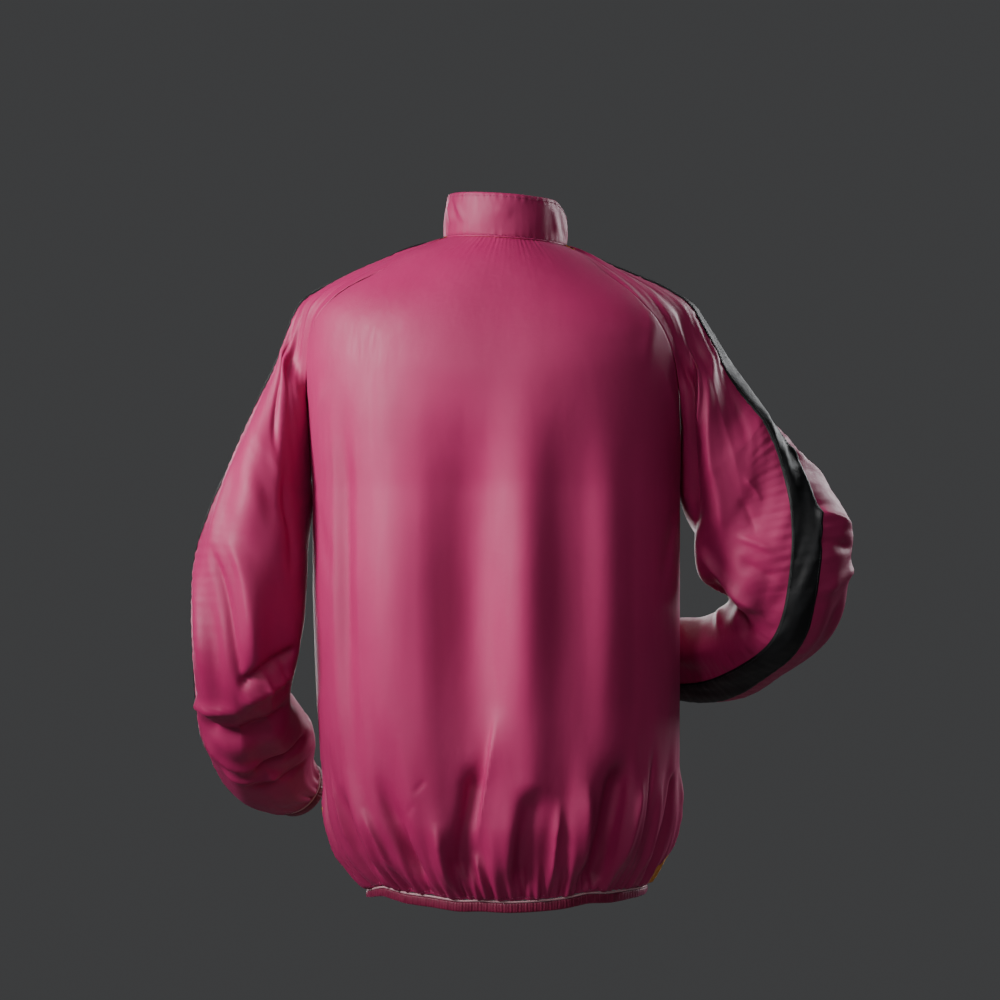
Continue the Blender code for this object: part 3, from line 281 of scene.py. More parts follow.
def zip_angle(level):
    """Degrees from the middle of the front to the edge of the zip."""
    low = np.clip(np.asarray(level, float) - 1, 0, 1)
    half = look_up(BODY_RINGS, "z", "half", ARMPIT_Z + (HEM_Z - ARMPIT_Z) * low)
    share = np.clip(1 - np.asarray(level, float), 0, 1)
    out = look_up(YOKE_PROFILE, "share", "front_out", share)
    half = np.where(np.asarray(level) > 1, half, NECK_HALF + (half - NECK_HALF) * out)
    return np.degrees(np.arcsin(ZIP_HALF / half))


def panel_edges(panel, level):
    """The two angles between which a body panel lies at a level."""
    if level <= 1:
        left = {face: float(raglan_angle("left", face, 1 - level)) for face in ("back", "front")}
        right = {face: float(raglan_angle("right", face, 1 - level)) for face in ("back", "front")}
    else:
        left = dict.fromkeys(("back", "front"), float(look_up(SIDE_SEAMS, "share", "left", level - 1)))
        right = dict.fromkeys(("back", "front"), float(look_up(SIDE_SEAMS, "share", "right", level - 1)))
    opening = float(zip_angle(level))
    if panel == "back":
        return left["back"], right["back"]
    if panel == "left":
        return opening, left["front"]
    return right["front"], 360 - opening


# ---- Folds that are wide enough for the wall to follow -------------------------------------------
# Each lies at an angle on the hem (level 2) and leans to another at its top; wide is in degrees.
BODY_FOLDS = [
    dict(foot=22, head=16, top=1.62, wide=5.0, lift=0.0050),
    dict(foot=45, head=38, top=1.70, wide=4.5, lift=-0.0040),
    dict(foot=66, head=60, top=1.55, wide=5.0, lift=0.0050),
    dict(foot=86, head=82, top=1.66, wide=4.5, lift=-0.0040),
    dict(foot=106, head=97, top=1.72, wide=4.5, lift=0.0050),
    dict(foot=121, head=110, top=1.60, wide=4.5, lift=-0.0050),
    dict(foot=135, head=126, top=1.68, wide=4.5, lift=0.0055),
    dict(foot=148, head=143, top=1.52, wide=4.5, lift=-0.0045),
    dict(foot=160, head=163, top=1.74, wide=4.0, lift=0.0040),
    dict(foot=169, head=179, top=1.55, wide=4.0, lift=-0.0065),
    dict(foot=180, head=187, top=1.66, wide=4.5, lift=0.0055),
    dict(foot=193, head=199, top=1.72, wide=4.5, lift=-0.0040),
    dict(foot=204, head=209, top=1.60, wide=4.5, lift=0.0050),
    dict(foot=215, head=221, top=1.60, wide=4.0, lift=-0.0075),
    dict(foot=226, head=233, top=1.66, wide=4.5, lift=0.0055),
    dict(foot=240, head=248, top=1.58, wide=4.5, lift=-0.0045),
    dict(foot=256, head=262, top=1.70, wide=5.0, lift=0.0045),
    dict(foot=280, head=286, top=1.60, wide=5.0, lift=-0.0040),
    dict(foot=302, head=306, top=1.66, wide=5.0, lift=0.0050),
    dict(foot=330, head=338, top=1.60, wide=5.0, lift=-0.0040),
]
# Long soft waves down the back and fronts, as the cloth hangs from the shoulders.
BODY_WAVES = [
    dict(at=52, top=0.75, foot=1.75, wide=13, lift=-0.0040),
    dict(at=129, top=0.60, foot=1.85, wide=7, lift=-0.0080),
    dict(at=148, top=0.50, foot=2.05, wide=16, lift=0.0080),
    dict(at=173, top=0.50, foot=2.15, wide=17, lift=-0.0215),
    dict(at=188, top=0.45, foot=1.95, wide=12, lift=0.0050),
    dict(at=202, top=0.50, foot=1.95, wide=12, lift=-0.0050),
    dict(at=216, top=0.60, foot=1.85, wide=10, lift=0.0050),
    dict(at=308, top=0.75, foot=1.75, wide=13, lift=-0.0040),
]
HEM_HOLD = 0.85  # the part of a fold's depth that the binding holds flat
HOLD_FROM = 1.88  # level where the binding starts to flatten the folds
FOLD_SPREAD = 1.6  # half the width of a fold where it dies out, over its stated width
HEM_LEVEL = 2.0


def bump(distance):
    """One soft hump, 1 in the middle and 0 from a distance of 1."""
    distance = np.clip(np.abs(distance), 0, 1)
    return 0.5 + 0.5 * np.cos(np.pi * distance)


def ease(value):
    value = np.clip(value, 0, 1)
    return value * value * (3 - 2 * value)


def body_relief(angle, level):
    """How far the folds lift the body off its base."""
    lift = np.zeros(np.broadcast(angle, level).shape)
    for fold in BODY_FOLDS:
        run = (level - fold["top"]) / (HEM_LEVEL - fold["top"])
        middle = fold["head"] + (fold["foot"] - fold["head"]) * np.clip(run, 0, 1)
        held = HEM_HOLD * ease((level - HOLD_FROM) / (HEM_LEVEL - HOLD_FROM))
        swell = ease(2 * run) * (1 - held)
        lift = lift + fold["lift"] * swell * bump((angle - middle) / (fold["wide"] * FOLD_SPREAD))
    for wave in BODY_WAVES:
        middle = (level - wave["top"]) / (wave["foot"] - wave["top"])
        lift = lift + wave["lift"] * bump(2 * middle - 1) * bump((angle - wave["at"]) / wave["wide"])
    return lift


def body_point(angle, level):
    """The outside of the body with its folds, without the gathers."""
    angle, level = np.broadcast_arrays(np.asarray(angle, float), np.asarray(level, float))
    base = body_base(angle, level)
    across = body_base(angle + 0.5, level) - body_base(angle - 0.5, level)
    down = body_base(angle, np.minimum(level + 0.01, 2)) - body_base(angle, np.maximum(level - 0.01, 0))
    return base - unit(np.cross(across, down)) * body_relief(angle, level)[..., None]


# ---- The sleeves ---------------------------------------------------------------------------------
# A sleeve's columns run down the arm: from the back seam (or underarm) round the outside to the
# front one, with the band in the middle. Its first rows lie between the two raglan seams.
SIDE_COLUMNS = 9
SLEEVE_COLUMNS = 2 * SIDE_COLUMNS + BAND_COLUMNS
BAND_START = SIDE_COLUMNS
BAND_END = SIDE_COLUMNS + BAND_COLUMNS
CROTCH_LEAN = 0.35  # how much the cloth turns outward where it leaves the armpit

# Sections of the sleeve between the raglan seams, by the seams' share: the outermost point, how far
# the section swells, and where the band's middle lies on its way from the back seam to the front.
LEFT_CAP = [
    dict(share=1.0, x=0.066, y=-0.003, z=0.000, swell=1.0, band=0.50),
    dict(share=0.9, x=0.096, y=-0.004, z=-0.008, swell=1.0, band=0.50),
    dict(share=0.8, x=0.128, y=-0.004, z=-0.020, swell=1.0, band=0.51),
    dict(share=0.7, x=0.160, y=-0.004, z=-0.033, swell=1.0, band=0.52),
    dict(share=0.6, x=0.191, y=-0.004, z=-0.047, swell=1.0, band=0.53),
    dict(share=0.5, x=0.217, y=-0.003, z=-0.063, swell=1.1, band=0.54),
    dict(share=0.4, x=0.231, y=-0.002, z=-0.088, swell=1.3, band=0.54),
    dict(share=0.3, x=0.241, y=-0.001, z=-0.114, swell=1.6, band=0.54),
    dict(share=0.2, x=0.252, y=0.000, z=-0.141, swell=1.9, band=0.54),
    dict(share=0.1, x=0.264, y=0.000, z=-0.167, swell=2.2, band=0.54),
    dict(share=0.0, x=0.276, y=0.000, z=-0.193, swell=2.5, band=0.54),
]
RIGHT_CAP = [
    dict(share=1.0, x=-0.066, y=-0.003, z=-0.006, swell=1.0, band=0.50),
    dict(share=0.9, x=-0.096, y=-0.004, z=-0.018, swell=1.0, band=0.50),
    dict(share=0.8, x=-0.121, y=-0.004, z=-0.029, swell=1.0, band=0.50),
    dict(share=0.7, x=-0.149, y=-0.004, z=-0.040, swell=1.0, band=0.50),
    dict(share=0.6, x=-0.177, y=-0.004, z=-0.051, swell=1.0, band=0.50),
    dict(share=0.5, x=-0.202, y=-0.002, z=-0.066, swell=1.1, band=0.50),
    dict(share=0.4, x=-0.217, y=0.000, z=-0.089, swell=1.3, band=0.49),
    dict(share=0.3, x=-0.231, y=0.002, z=-0.114, swell=1.5, band=0.47),
    dict(share=0.2, x=-0.246, y=0.003, z=-0.139, swell=1.8, band=0.46),
    dict(share=0.1, x=-0.263, y=0.004, z=-0.161, swell=2.1, band=0.44),
    dict(share=0.0, x=-0.282, y=0.004, z=-0.184, swell=2.3, band=0.43),
]
SLEEVES = {"left": LEFT_SLEEVE, "right": RIGHT_SLEEVE}
CAPS = {"left": LEFT_CAP, "right": RIGHT_CAP}

# Folds of the sleeves: angle round the arm, place along it (0 at the armpit, 1 at the cuff).
LEFT_FOLDS = [
    dict(at=92, start=0.22, end=0.64, turn_to=60, wide=26, lift=-0.0060),
    dict(at=140, start=0.25, end=0.68, turn_to=96, wide=24, lift=0.0055),
    dict(at=62, start=0.40, end=0.84, turn_to=80, wide=26, lift=0.0065),
    dict(at=100, start=0.58, end=0.92, turn_to=118, wide=24, lift=-0.0055),
    dict(at=30, start=0.30, end=0.62, turn_to=10, wide=26, lift=-0.0060),
    dict(at=330, start=0.36, end=0.76, turn_to=345, wide=28, lift=0.0060),
    dict(at=290, start=0.30, end=0.70, turn_to=300, wide=28, lift=-0.0060),
    dict(at=105, start=-0.10, end=0.30, turn_to=112, wide=30, lift=-0.0035),
    dict(at=250, start=0.40, end=0.88, turn_to=255, wide=28, lift=0.0040),
]
RIGHT_FOLDS = [
    dict(at=60, start=0.10, end=0.52, turn_to=30, wide=28, lift=-0.0060),
    dict(at=25, start=0.20, end=0.62, turn_to=0, wide=26, lift=0.0060),
    dict(at=-5, start=0.12, end=0.46, turn_to=-20, wide=26, lift=-0.0060),
    dict(at=150, start=0.24, end=0.62, turn_to=160, wide=26, lift=0.0045),
    dict(at=180, start=0.30, end=0.74, turn_to=190, wide=26, lift=-0.0050),
    dict(at=230, start=0.20, end=0.68, turn_to=225, wide=30, lift=0.0050),
    dict(at=280, start=0.28, end=0.58, turn_to=270, wide=28, lift=-0.0060),
    dict(at=70, start=0.46, end=0.88, turn_to=60, wide=26, lift=0.0050),
]
SLEEVE_FOLDS = {"left": LEFT_FOLDS, "right": RIGHT_FOLDS}


def hermite(start, end, leave, arrive, t):
    t = np.asarray(t, float)[:, None]
    return (
        start * (1 + 2 * t) * (1 - t) ** 2
        + end * t * t * (3 - 2 * t)
        + leave * t * (1 - t) ** 2
        + arrive * t * t * (t - 1)
    )


def spread(curve, middle, columns):
    """Points of a curve at the sleeve's columns: the band keeps its width about its middle."""
    length = run_length(curve)
    band = middle * length[-1]
    stops = [0, band - BAND_WIDTH / 2, band + BAND_WIDTH / 2, length[-1]]
    places = np.interp(columns, [0, BAND_START, BAND_END, SLEEVE_COLUMNS], stops)
    return np.stack([np.interp(places, length, curve[:, k]) for k in range(3)], -1)


def seam_leave(side, face, share):
    """A raglan seam's point, and the direction in which the sleeve's cloth leaves it."""
    angle, level = raglan_angle(side, face, share), 1 - share
    start = body_point(angle, level)
    across = body_base(angle + 1, level) - body_base(angle - 1, level)
    down = body_base(angle, level + 0.02) - body_base(angle, max(level - 0.02, 0))
    normal = -unit(np.cross(across, down))
    later, sooner = min(share + 0.02, 1), max(share - 0.02, 0)
    ahead = body_base(raglan_angle(side, face, later), 1 - later)
    behind = body_base(raglan_angle(side, face, sooner), 1 - sooner)
    over = unit(np.cross(normal, ahead - behind))
    back = 1 if face == "back" else -1
    out = 1 if side == "left" else -1
    over = over * back * out
    crotch = unit(np.array([out * CROTCH_LEAN, back * 1.0, 0]))
    hold = ease((share - 0.12) / 0.38)
    return start, unit(over * hold + crotch * (1 - hold))


def cap_section(side, share, columns):
    """The sleeve between the raglan seams at one share, at its columns."""
    table = CAPS[side]
    middle = float(look_up(table, "share", "band", share))
    if share >= 1:
        angles = np.linspace(float(raglan_angle(side, "back", 1)), float(raglan_angle(side, "front", 1)), 61)
        return spread(body_point(angles, np.zeros(61)), middle, columns)
    top = np.array([float(look_up(table, "share", name, share)) for name in "xyz"])
    swell = float(look_up(table, "share", "swell", share))
    t = np.linspace(0, 1, 41)
    back, leave_back = seam_leave(side, "back", share)
    front, leave_front = seam_leave(side, "front", share)
    over = unit(np.array([0, -1.0, 0]) * swell + unit(front - back + [0, -1e-6, 0]))
    far_back, far_front = np.linalg.norm(top - back) * swell, np.linalg.norm(top - front) * swell
    first = hermite(back, top, leave_back * far_back, over * far_back, t)
    second = hermite(top, front, over * far_front, -leave_front * far_front, t)
    return spread(np.concatenate([first, second[1:]]), middle, columns)


def sleeve_frames(side):
    """Middle, outward and backward axes of the rings, carried down the arm without twisting."""
    rings = SLEEVES[side]
    middles = np.stack([column(rings, name) for name in "xyz"], -1)
    knots = run_length(middles)
    along = unit(spline(knots, middles, knots)[1])
    back = np.array([0.0, 1.0, 0.0])
    frames = []
    for ring, axis in zip(rings, along):
        back = unit(back - axis * (back @ axis))
        out = np.cross(back, axis)
        if not frames and out[0] * middles[0][0] < 0 or frames and out @ frames[-1][0] < 0:
            out = -out
        roll = math.radians(ring["roll"])
        turned = out * math.cos(roll) + back * math.sin(roll)
        frames.append((turned, back * math.cos(roll) - out * math.sin(roll)))
    return middles, knots, np.array(frames), along


def ring_angles(ring, columns):
    """Angles round a ring for columns of the sleeve: the band keeps its width."""
    angles = np.linspace(ring["under"], ring["under"] + 360, 721)
    sine, cosine = turn(angles)
    round_ring = np.stack([ring["wide"] * cosine, ring["deep"] * sine], -1)
    length = run_length(round_ring)
    band = np.interp(ring["band"], angles, length)
    stops = [0, band - BAND_WIDTH / 2, band + BAND_WIDTH / 2, length[-1]]
    places = np.interp(columns, [0, BAND_START, BAND_END, SLEEVE_COLUMNS], stops)
    return np.interp(places, length, angles)


def arm_grid(side, columns, along):
    """Sleeve points below the armpit: along runs from 0 at the armpit to 1 at the cuff."""
    middles, _, frames, _ = sleeve_frames(side)
    rings = [cap_section(side, 0.15, columns), cap_section(side, 0.0, columns)]
    for ring, middle, (out, back) in zip(SLEEVES[side], middles, frames):
        sine, cosine = turn(ring_angles(ring, columns))
        rings.append(middle - np.outer(ring["wide"] * cosine, out) + np.outer(ring["deep"] * sine, back))
    rings = np.array(rings)
    steps = np.linalg.norm(np.diff(rings.mean(1), axis=0), axis=-1)
    places = np.concatenate([[-steps[0]], [0], np.cumsum(steps[1:])])
    return spline(places, rings, np.asarray(along, float) * places[-1])[0]


def grid_normals(grid, side):
    """Outward normals of a sleeve grid whose first and last columns may meet."""
    across = np.gradient(grid, axis=1)
    closed = np.linalg.norm(grid[:, 0] - grid[:, -1], axis=-1) < 1e-6
    across[closed, 0] = across[closed, -1] = grid[closed, 1] - grid[closed, -2]
    normals = unit(np.cross(np.gradient(grid, axis=0), across))
    return normals if side == "left" else -normals


def arm_relief(side, columns, along):
    """How far the folds lift the sleeve."""
    table = np.array([ring_angles(ring, columns) for ring in SLEEVES[side]])
    knots = np.linspace(0.12, 1, len(table))
    angles = np.stack([np.interp(along, knots, table[:, j]) for j in range(len(columns))], -1)
    lift = np.zeros(angles.shape)
    for fold in SLEEVE_FOLDS[side]:
        run = (np.asarray(along)[:, None] - fold["start"]) / (fold["end"] - fold["start"])
        middle = fold["at"] + (fold["turn_to"] - fold["at"]) * np.clip(run, 0, 1)
        off = (angles - middle + 180) % 360 - 180
        lift += fold["lift"] * bump(2 * run - 1) * bump(off / fold["wide"])
    return lift * ease(np.asarray(along)[:, None] / 0.15) * ease((1 - np.asarray(along)[:, None]) / 0.10)


def sleeve_grid(side, columns, shares, along):
    """The outside of a sleeve: rows at the raglan shares, then rows along the arm."""
    cap = [cap_section(side, float(share), columns) for share in shares]
    arm = arm_grid(side, columns, along)
    arm = arm + grid_normals(arm, side) * arm_relief(side, columns, along)[..., None]
    return np.concatenate([np.array(cap), arm])


# ---- Fine relief of the cloth --------------------------------------------------------------------
ANGLE_LENGTH = 0.0034  # one degree round the body
LEVEL_LENGTH = 0.432  # one level down the body


def crease(at, level, to, end, wide, lift, **more):
    """A crease from at, level to to, end, with its half width and its height."""
    return dict(at=at, level=level, to=to, end=end, wide=wide, lift=lift, **more)


# Creases listed for the body, whose places are angles and levels: at, level, to, end, wide, lift.
BODY_CREASES = [
    # the long fold left of the middle: a steep flank on one side, a broad lit one on the other
    crease(180.5, 1.52, 170.0, 1.90, 0.0077, 0.0091, bend=0.004, sharp=0.5, skew=0.45),
    crease(173.0, 1.66, 165.5, 1.97, 0.0117, -0.0105, sharp=0.1, onset=0.22, fade=0.20),
    crease(170.5, 1.88, 174.0, 2.00, 0.0045, 0.0053, sharp=0.5),
    # hollows with a round top, over the hem
    crease(222.0, 1.66, 214.5, 2.00, 0.0150, -0.0140, onset=0.22, fade=0.12, skew=-0.3),
    crease(191.0, 1.71, 186.0, 1.99, 0.0150, -0.0105, onset=0.25, fade=0.20),
    crease(119.0, 1.73, 127.0, 1.99, 0.0140, -0.0115, onset=0.45, fade=0.20),
    crease(140.0, 1.68, 152.0, 1.98, 0.0100, -0.0100, onset=0.45, fade=0.20, bend=-0.003),
    # ridges that fan up from the gathers
    crease(199.0, 1.74, 196.5, 2.00, 0.0059, 0.0074, sharp=0.5, skew=0.2),
    crease(132.5, 1.78, 141.5, 1.98, 0.0049, 0.0066, sharp=0.5),
    crease(147.0, 1.80, 154.0, 1.99, 0.0045, 0.0053, sharp=0.5),
    crease(160.0, 1.80, 160.5, 1.99, 0.0049, 0.0053, sharp=0.4),
    crease(207.5, 1.70, 208.5, 1.98, 0.0067, 0.0061, sharp=0.3),
    crease(230.0, 1.70, 222.5, 1.97, 0.0063, 0.0074, sharp=0.5, skew=-0.3),
    crease(236.0, 1.62, 231.0, 1.94, 0.0054, -0.0042, sharp=0.4),
    crease(243.0, 1.70, 236.0, 1.99, 0.0072, 0.0053),
    crease(112.0, 1.68, 119.0, 1.96, 0.0072, 0.0056, sharp=0.3),
    crease(152.5, 1.745, 157.5, 1.700, 0.0027, -0.0012, sharp=0.5),
    crease(149.5, 1.80, 153.0, 1.76, 0.0025, -0.0010, sharp=0.5),
    # the same sort of fold round the sides and the front
    crease(99.0, 1.68, 106.0, 1.99, 0.0099, -0.0088, onset=0.18, fade=0.2),
    crease(88.0, 1.72, 92.0, 1.99, 0.0063, 0.0066, sharp=0.4),
    crease(74.0, 1.66, 79.0, 1.99, 0.0108, -0.0091, onset=0.16, fade=0.2),
    crease(61.0, 1.70, 66.0, 1.99, 0.0063, 0.0070, sharp=0.5, skew=0.3),
    crease(47.0, 1.72, 50.0, 1.99, 0.0099, -0.0077, onset=0.16, fade=0.2),
    crease(34.0, 1.66, 35.0, 1.98, 0.0063, 0.0064, sharp=0.4),
    crease(18.0, 1.74, 17.0, 1.99, 0.0081, -0.0064, onset=0.2, fade=0.2),
    crease(254.0, 1.70, 247.0, 1.99, 0.0099, -0.0088, onset=0.16, fade=0.2),
    crease(266.0, 1.68, 261.0, 1.98, 0.0063, 0.0066, sharp=0.4),
    crease(282.0, 1.66, 278.0, 1.99, 0.0108, -0.0095, onset=0.16, fade=0.2),
    crease(296.0, 1.70, 293.0, 1.98, 0.0067, 0.0070, sharp=0.5, skew=-0.3),
    crease(311.0, 1.74, 309.0, 1.99, 0.0099, -0.0077, onset=0.16, fade=0.2),
    crease(326.0, 1.66, 326.0, 1.98, 0.0063, 0.0064, sharp=0.4),
    crease(343.0, 1.74, 344.0, 1.99, 0.0081, -0.0060, onset=0.2, fade=0.2),
    # drag lines from the armpits and across the yoke
    crease(102.0, 0.92, 122.0, 0.66, 0.0120, 0.0022),
    crease(104.0, 1.02, 124.0, 1.24, 0.0130, -0.0020),
    crease(256.0, 0.88, 236.0, 0.60, 0.0110, 0.0024, sharp=0.2),
    crease(256.0, 1.02, 238.0, 1.26, 0.0130, -0.0022),
    crease(240.0, 0.40, 228.0, 0.62, 0.0090, 0.0020),
    crease(76.0, 0.90, 54.0, 0.68, 0.0110, 0.0022),
    crease(74.0, 1.04, 56.0, 1.24, 0.0120, -0.0020),
    crease(284.0, 0.90, 306.0, 0.68, 0.0110, 0.0022),
    crease(286.0, 1.04, 304.0, 1.24, 0.0120, -0.0020),
]
# Creases of the sleeves, whose places are parts of the way round and down: at, level, to, end, wide, lift.
SLEEVE_CREASES = {
    "left": [
        # the groove and the roll that run down to the elbow
        crease(0.325, 0.560, 0.182, 0.728, 0.0053, -0.0068, sharp=0.5, bend=-0.004, fade=0.15),
        crease(0.275, 0.545, 0.150, 0.720, 0.0075, 0.0068, sharp=0.3, bend=-0.004, skew=-0.3),
        # the folded point at the elbow
        crease(0.200, 0.722, 0.040, 0.684, 0.0046, -0.0095, sharp=0.4, onset=0.15, fade=0.2),
        crease(0.200, 0.738, 0.030, 0.712, 0.0070, 0.0100, sharp=0.7, onset=0.2, fade=0.3),
        crease(0.140, 0.702, 0.100, 0.756, 0.0036, 0.0040, sharp=0.8),
        crease(0.090, 0.690, 0.055, 0.740, 0.0034, -0.0030, sharp=0.7),
        # the deep horizontal fold under it, and the planes below
        crease(0.380, 0.758, 0.160, 0.742, 0.0050, 0.0080, sharp=0.7, onset=0.2, fade=0.4),
        crease(0.390, 0.782, 0.010, 0.768, 0.0100, -0.0150, sharp=0.2, onset=0.2, fade=0.25),
        crease(0.370, 0.798, 0.150, 0.838, 0.0070, 0.0090, sharp=0.6, skew=0.3),
        crease(0.220, 0.855, 0.010, 0.846, 0.0070, -0.0100, sharp=0.3, onset=0.2),
        crease(0.330, 0.872, 0.120, 0.893, 0.0070, 0.0065, sharp=0.6),
        crease(0.190, 0.862, 0.150, 0.915, 0.0046, 0.0036, sharp=0.7),
        crease(0.270, 0.905, 0.040, 0.905, 0.0060, -0.0050, sharp=0.4),
        # long creases down the upper arm
        crease(0.330, 0.235, 0.155, 0.400, 0.0062, -0.0047, sharp=0.4, bend=0.006),
        crease(0.160, 0.380, 0.100, 0.640, 0.0062, -0.0052, sharp=0.4),
        crease(0.190, 0.330, 0.125, 0.600, 0.0097, 0.0044, skew=0.2),
        crease(0.345, 0.420, 0.310, 0.600, 0.0070, 0.0034),
        crease(0.360, 0.600, 0.270, 0.740, 0.0097, 0.0039),
        # the front of the sleeve
        crease(0.655, 0.540, 0.820, 0.720, 0.0057, -0.0060, sharp=0.5, bend=0.004),
        crease(0.690, 0.530, 0.850, 0.705, 0.0075, 0.0060, sharp=0.3, bend=0.004),
        crease(0.820, 0.740, 0.980, 0.705, 0.0053, -0.0073, sharp=0.5),
        crease(0.800, 0.755, 0.985, 0.735, 0.0075, 0.0086, sharp=0.6),
        crease(0.640, 0.780, 0.980, 0.790, 0.0088, -0.0099, sharp=0.2),
        crease(0.660, 0.812, 0.860, 0.842, 0.0070, 0.0070, sharp=0.5),
        crease(0.820, 0.866, 0.985, 0.862, 0.0062, -0.0068, sharp=0.3),
        crease(0.650, 0.300, 0.850, 0.500, 0.0079, -0.0044, sharp=0.3),
    ],
    "right": [
        # the arm's back is folded into a ridge beside the body, and the cloth falls away from it outwards
        crease(0.175, 0.200, 0.200, 0.600, 0.0230, 0.0110, onset=0.3, fade=0.3, skew=-0.3),
        crease(0.330, 0.230, 0.330, 0.570, 0.0300, -0.0090, onset=0.35, fade=0.35),
        crease(0.085, 0.215, 0.095, 0.500, 0.0110, -0.0100, onset=0.2, fade=0.2),
        crease(0.165, 0.215, 0.140, 0.320, 0.0050, 0.0060, sharp=0.6, fade=0.1),
        crease(0.185, 0.280, 0.215, 0.560, 0.0060, 0.0040, sharp=0.7, skew=-0.3),
        crease(0.245, 0.250, 0.262, 0.500, 0.0070, 0.0016, sharp=0.6),
        # facets on the way to the elbow
        crease(0.265, 0.425, 0.330, 0.500, 0.0050, 0.0026, sharp=0.8),
        crease(0.245, 0.465, 0.310, 0.545, 0.0050, -0.0022, sharp=0.6),
        crease(0.235, 0.535, 0.370, 0.572, 0.0050, 0.0036, sharp=0.8, skew=0.3),
        crease(0.250, 0.566, 0.385, 0.612, 0.0060, -0.0034, sharp=0.4),
        # the edge that overlaps the dark forearm
        crease(0.100, 0.535, 0.400, 0.700, 0.0110, 0.0085, sharp=0.6, onset=0.2, skew=-0.3),
        crease(0.100, 0.585, 0.380, 0.760, 0.0120, -0.0110, sharp=0.2, onset=0.2),
        crease(0.300, 0.800, 0.100, 0.850, 0.0080, 0.0036, sharp=0.3),
        # outside of the elbow
        crease(0.555, 0.520, 0.680, 0.552, 0.0070, 0.0075, sharp=0.6),
        crease(0.560, 0.560, 0.700, 0.590, 0.0070, -0.0057, sharp=0.3),
        crease(0.560, 0.420, 0.700, 0.500, 0.0066, 0.0044, sharp=0.5),
        crease(0.580, 0.640, 0.760, 0.610, 0.0075, 0.0057, sharp=0.4),
        # the front of the sleeve
        crease(0.740, 0.480, 0.930, 0.560, 0.0070, 0.0039, sharp=0.6),
        crease(0.750, 0.530, 0.950, 0.600, 0.0075, -0.0043, sharp=0.3),
        crease(0.730, 0.600, 0.950, 0.650, 0.0070, 0.0039, sharp=0.5),
        crease(0.760, 0.700, 0.960, 0.730, 0.0075, -0.0033, sharp=0.3),
        crease(0.700, 0.300, 0.880, 0.440, 0.0079, 0.0024, sharp=0.3),
        crease(0.960, 0.360, 0.840, 0.520, 0.0088, -0.0036, sharp=0.2),
    ],
}
# Waves of the gathers: how many all round, how far up from the hem they reach, and their height.
HEM_GATHERS = [
    dict(count=96, reach=0.028, height=0.0016, shift=0.4),
    dict(count=47, reach=0.055, height=0.0015, shift=1.9),
    dict(count=23, reach=0.110, height=0.0013, shift=0.7),
]
CUFF_GATHERS = [
    dict(count=26, reach=0.022, height=0.0010, shift=0.3),
    dict(count=13, reach=0.050, height=0.0012, shift=2.1),
]


def crease_relief(table, u, v, u_length, v_length):
    """Lift of the creases of a table at places u and v.

    A crease runs from at, level to to, end. Its half width is wide, bend bows it sideways, sharp turns
    its soft top into an edge, skew makes one flank steeper, and onset and fade are the parts of its
    length over which it rises and dies away.
    """
    lift = np.zeros(np.broadcast(u, v).shape)
    for row in table:
        start = np.array([row["at"] * u_length, row["level"] * v_length])
        step = np.array([row["to"] * u_length, row["end"] * v_length]) - start
        across, down = u * u_length - start[0], v * v_length - start[1]
        run = (across * step[0] + down * step[1]) / (step @ step)
        off = (across * step[1] - down * step[0]) / math.hypot(*step)
        held = np.clip(run, 0, 1)
        off = off - row.get("bend", 0) * 4 * held * (1 - held)
        off = off / (row["wide"] * (1 + row.get("skew", 0) * np.sign(off)))
        sharp = row.get("sharp", 0)
        shape = (1 - sharp) * np.exp(-(off**2)) + sharp * np.exp(-1.3 * np.abs(off))
        ends = ease(run / row.get("onset", 0.35)) * ease((1 - run) / row.get("fade", 0.35))
        lift += row["lift"] * ends * shape
    return lift


def gather_relief(table, turns, distance):
    """Waves that fade with the distance from the gathered edge; turns runs from 0 to 1 round it."""
    lift = np.zeros(np.broadcast(turns, distance).shape)
    for row in table:
        phase = 2 * np.pi * (row["count"] * turns) + row["shift"]
        phase = phase + 1.1 * np.sin(2 * np.pi * 7 * turns + row["shift"])
        phase = phase + 0.8 * np.sin(2 * np.pi * 17 * turns + 2 * row["shift"])
        size = 1 + 0.35 * np.sin(2 * np.pi * 11 * turns + 3 * row["shift"])
        fade = np.exp(-((distance / row["reach"]) ** 1.5))
        lift = lift + row["height"] * size * fade * np.sin(phase)
    return lift


def slow_waves(u, v, seed, across, down, height):
    """Soft unevenness of hanging cloth: wide waves that run mostly one way."""
    rng = np.random.default_rng(seed)
    lift = np.zeros(np.broadcast(u, v).shape)
    for _ in range(14):
        length_u = across * rng.uniform(0.7, 1.8)
        length_v = down * rng.uniform(0.7, 1.8)
        lean = rng.uniform(-0.5, 0.5)
        phase = rng.uniform(0, 2 * np.pi)
        lift = lift + np.sin(2 * np.pi * (u / length_u + v / length_v + lean * u * v) + phase)
    return lift * height / math.sqrt(14)


def row_lengths(grid):
    """Distance of each point along its row from the row's first point."""
    steps = np.linalg.norm(np.diff(grid, axis=1), axis=-1)
    return np.concatenate([np.zeros((len(grid), 1)), np.cumsum(steps, 1)], 1)


def surface_normals(grid, sign):
    across, down = np.gradient(grid, axis=1), np.gradient(grid, axis=0)
    closed = np.linalg.norm(grid[:, 0] - grid[:, -1], axis=-1) < 1e-6
    across[closed, 0] = across[closed, -1] = grid[closed, 1] - grid[closed, -2]
    return sign * unit(np.cross(down, across))


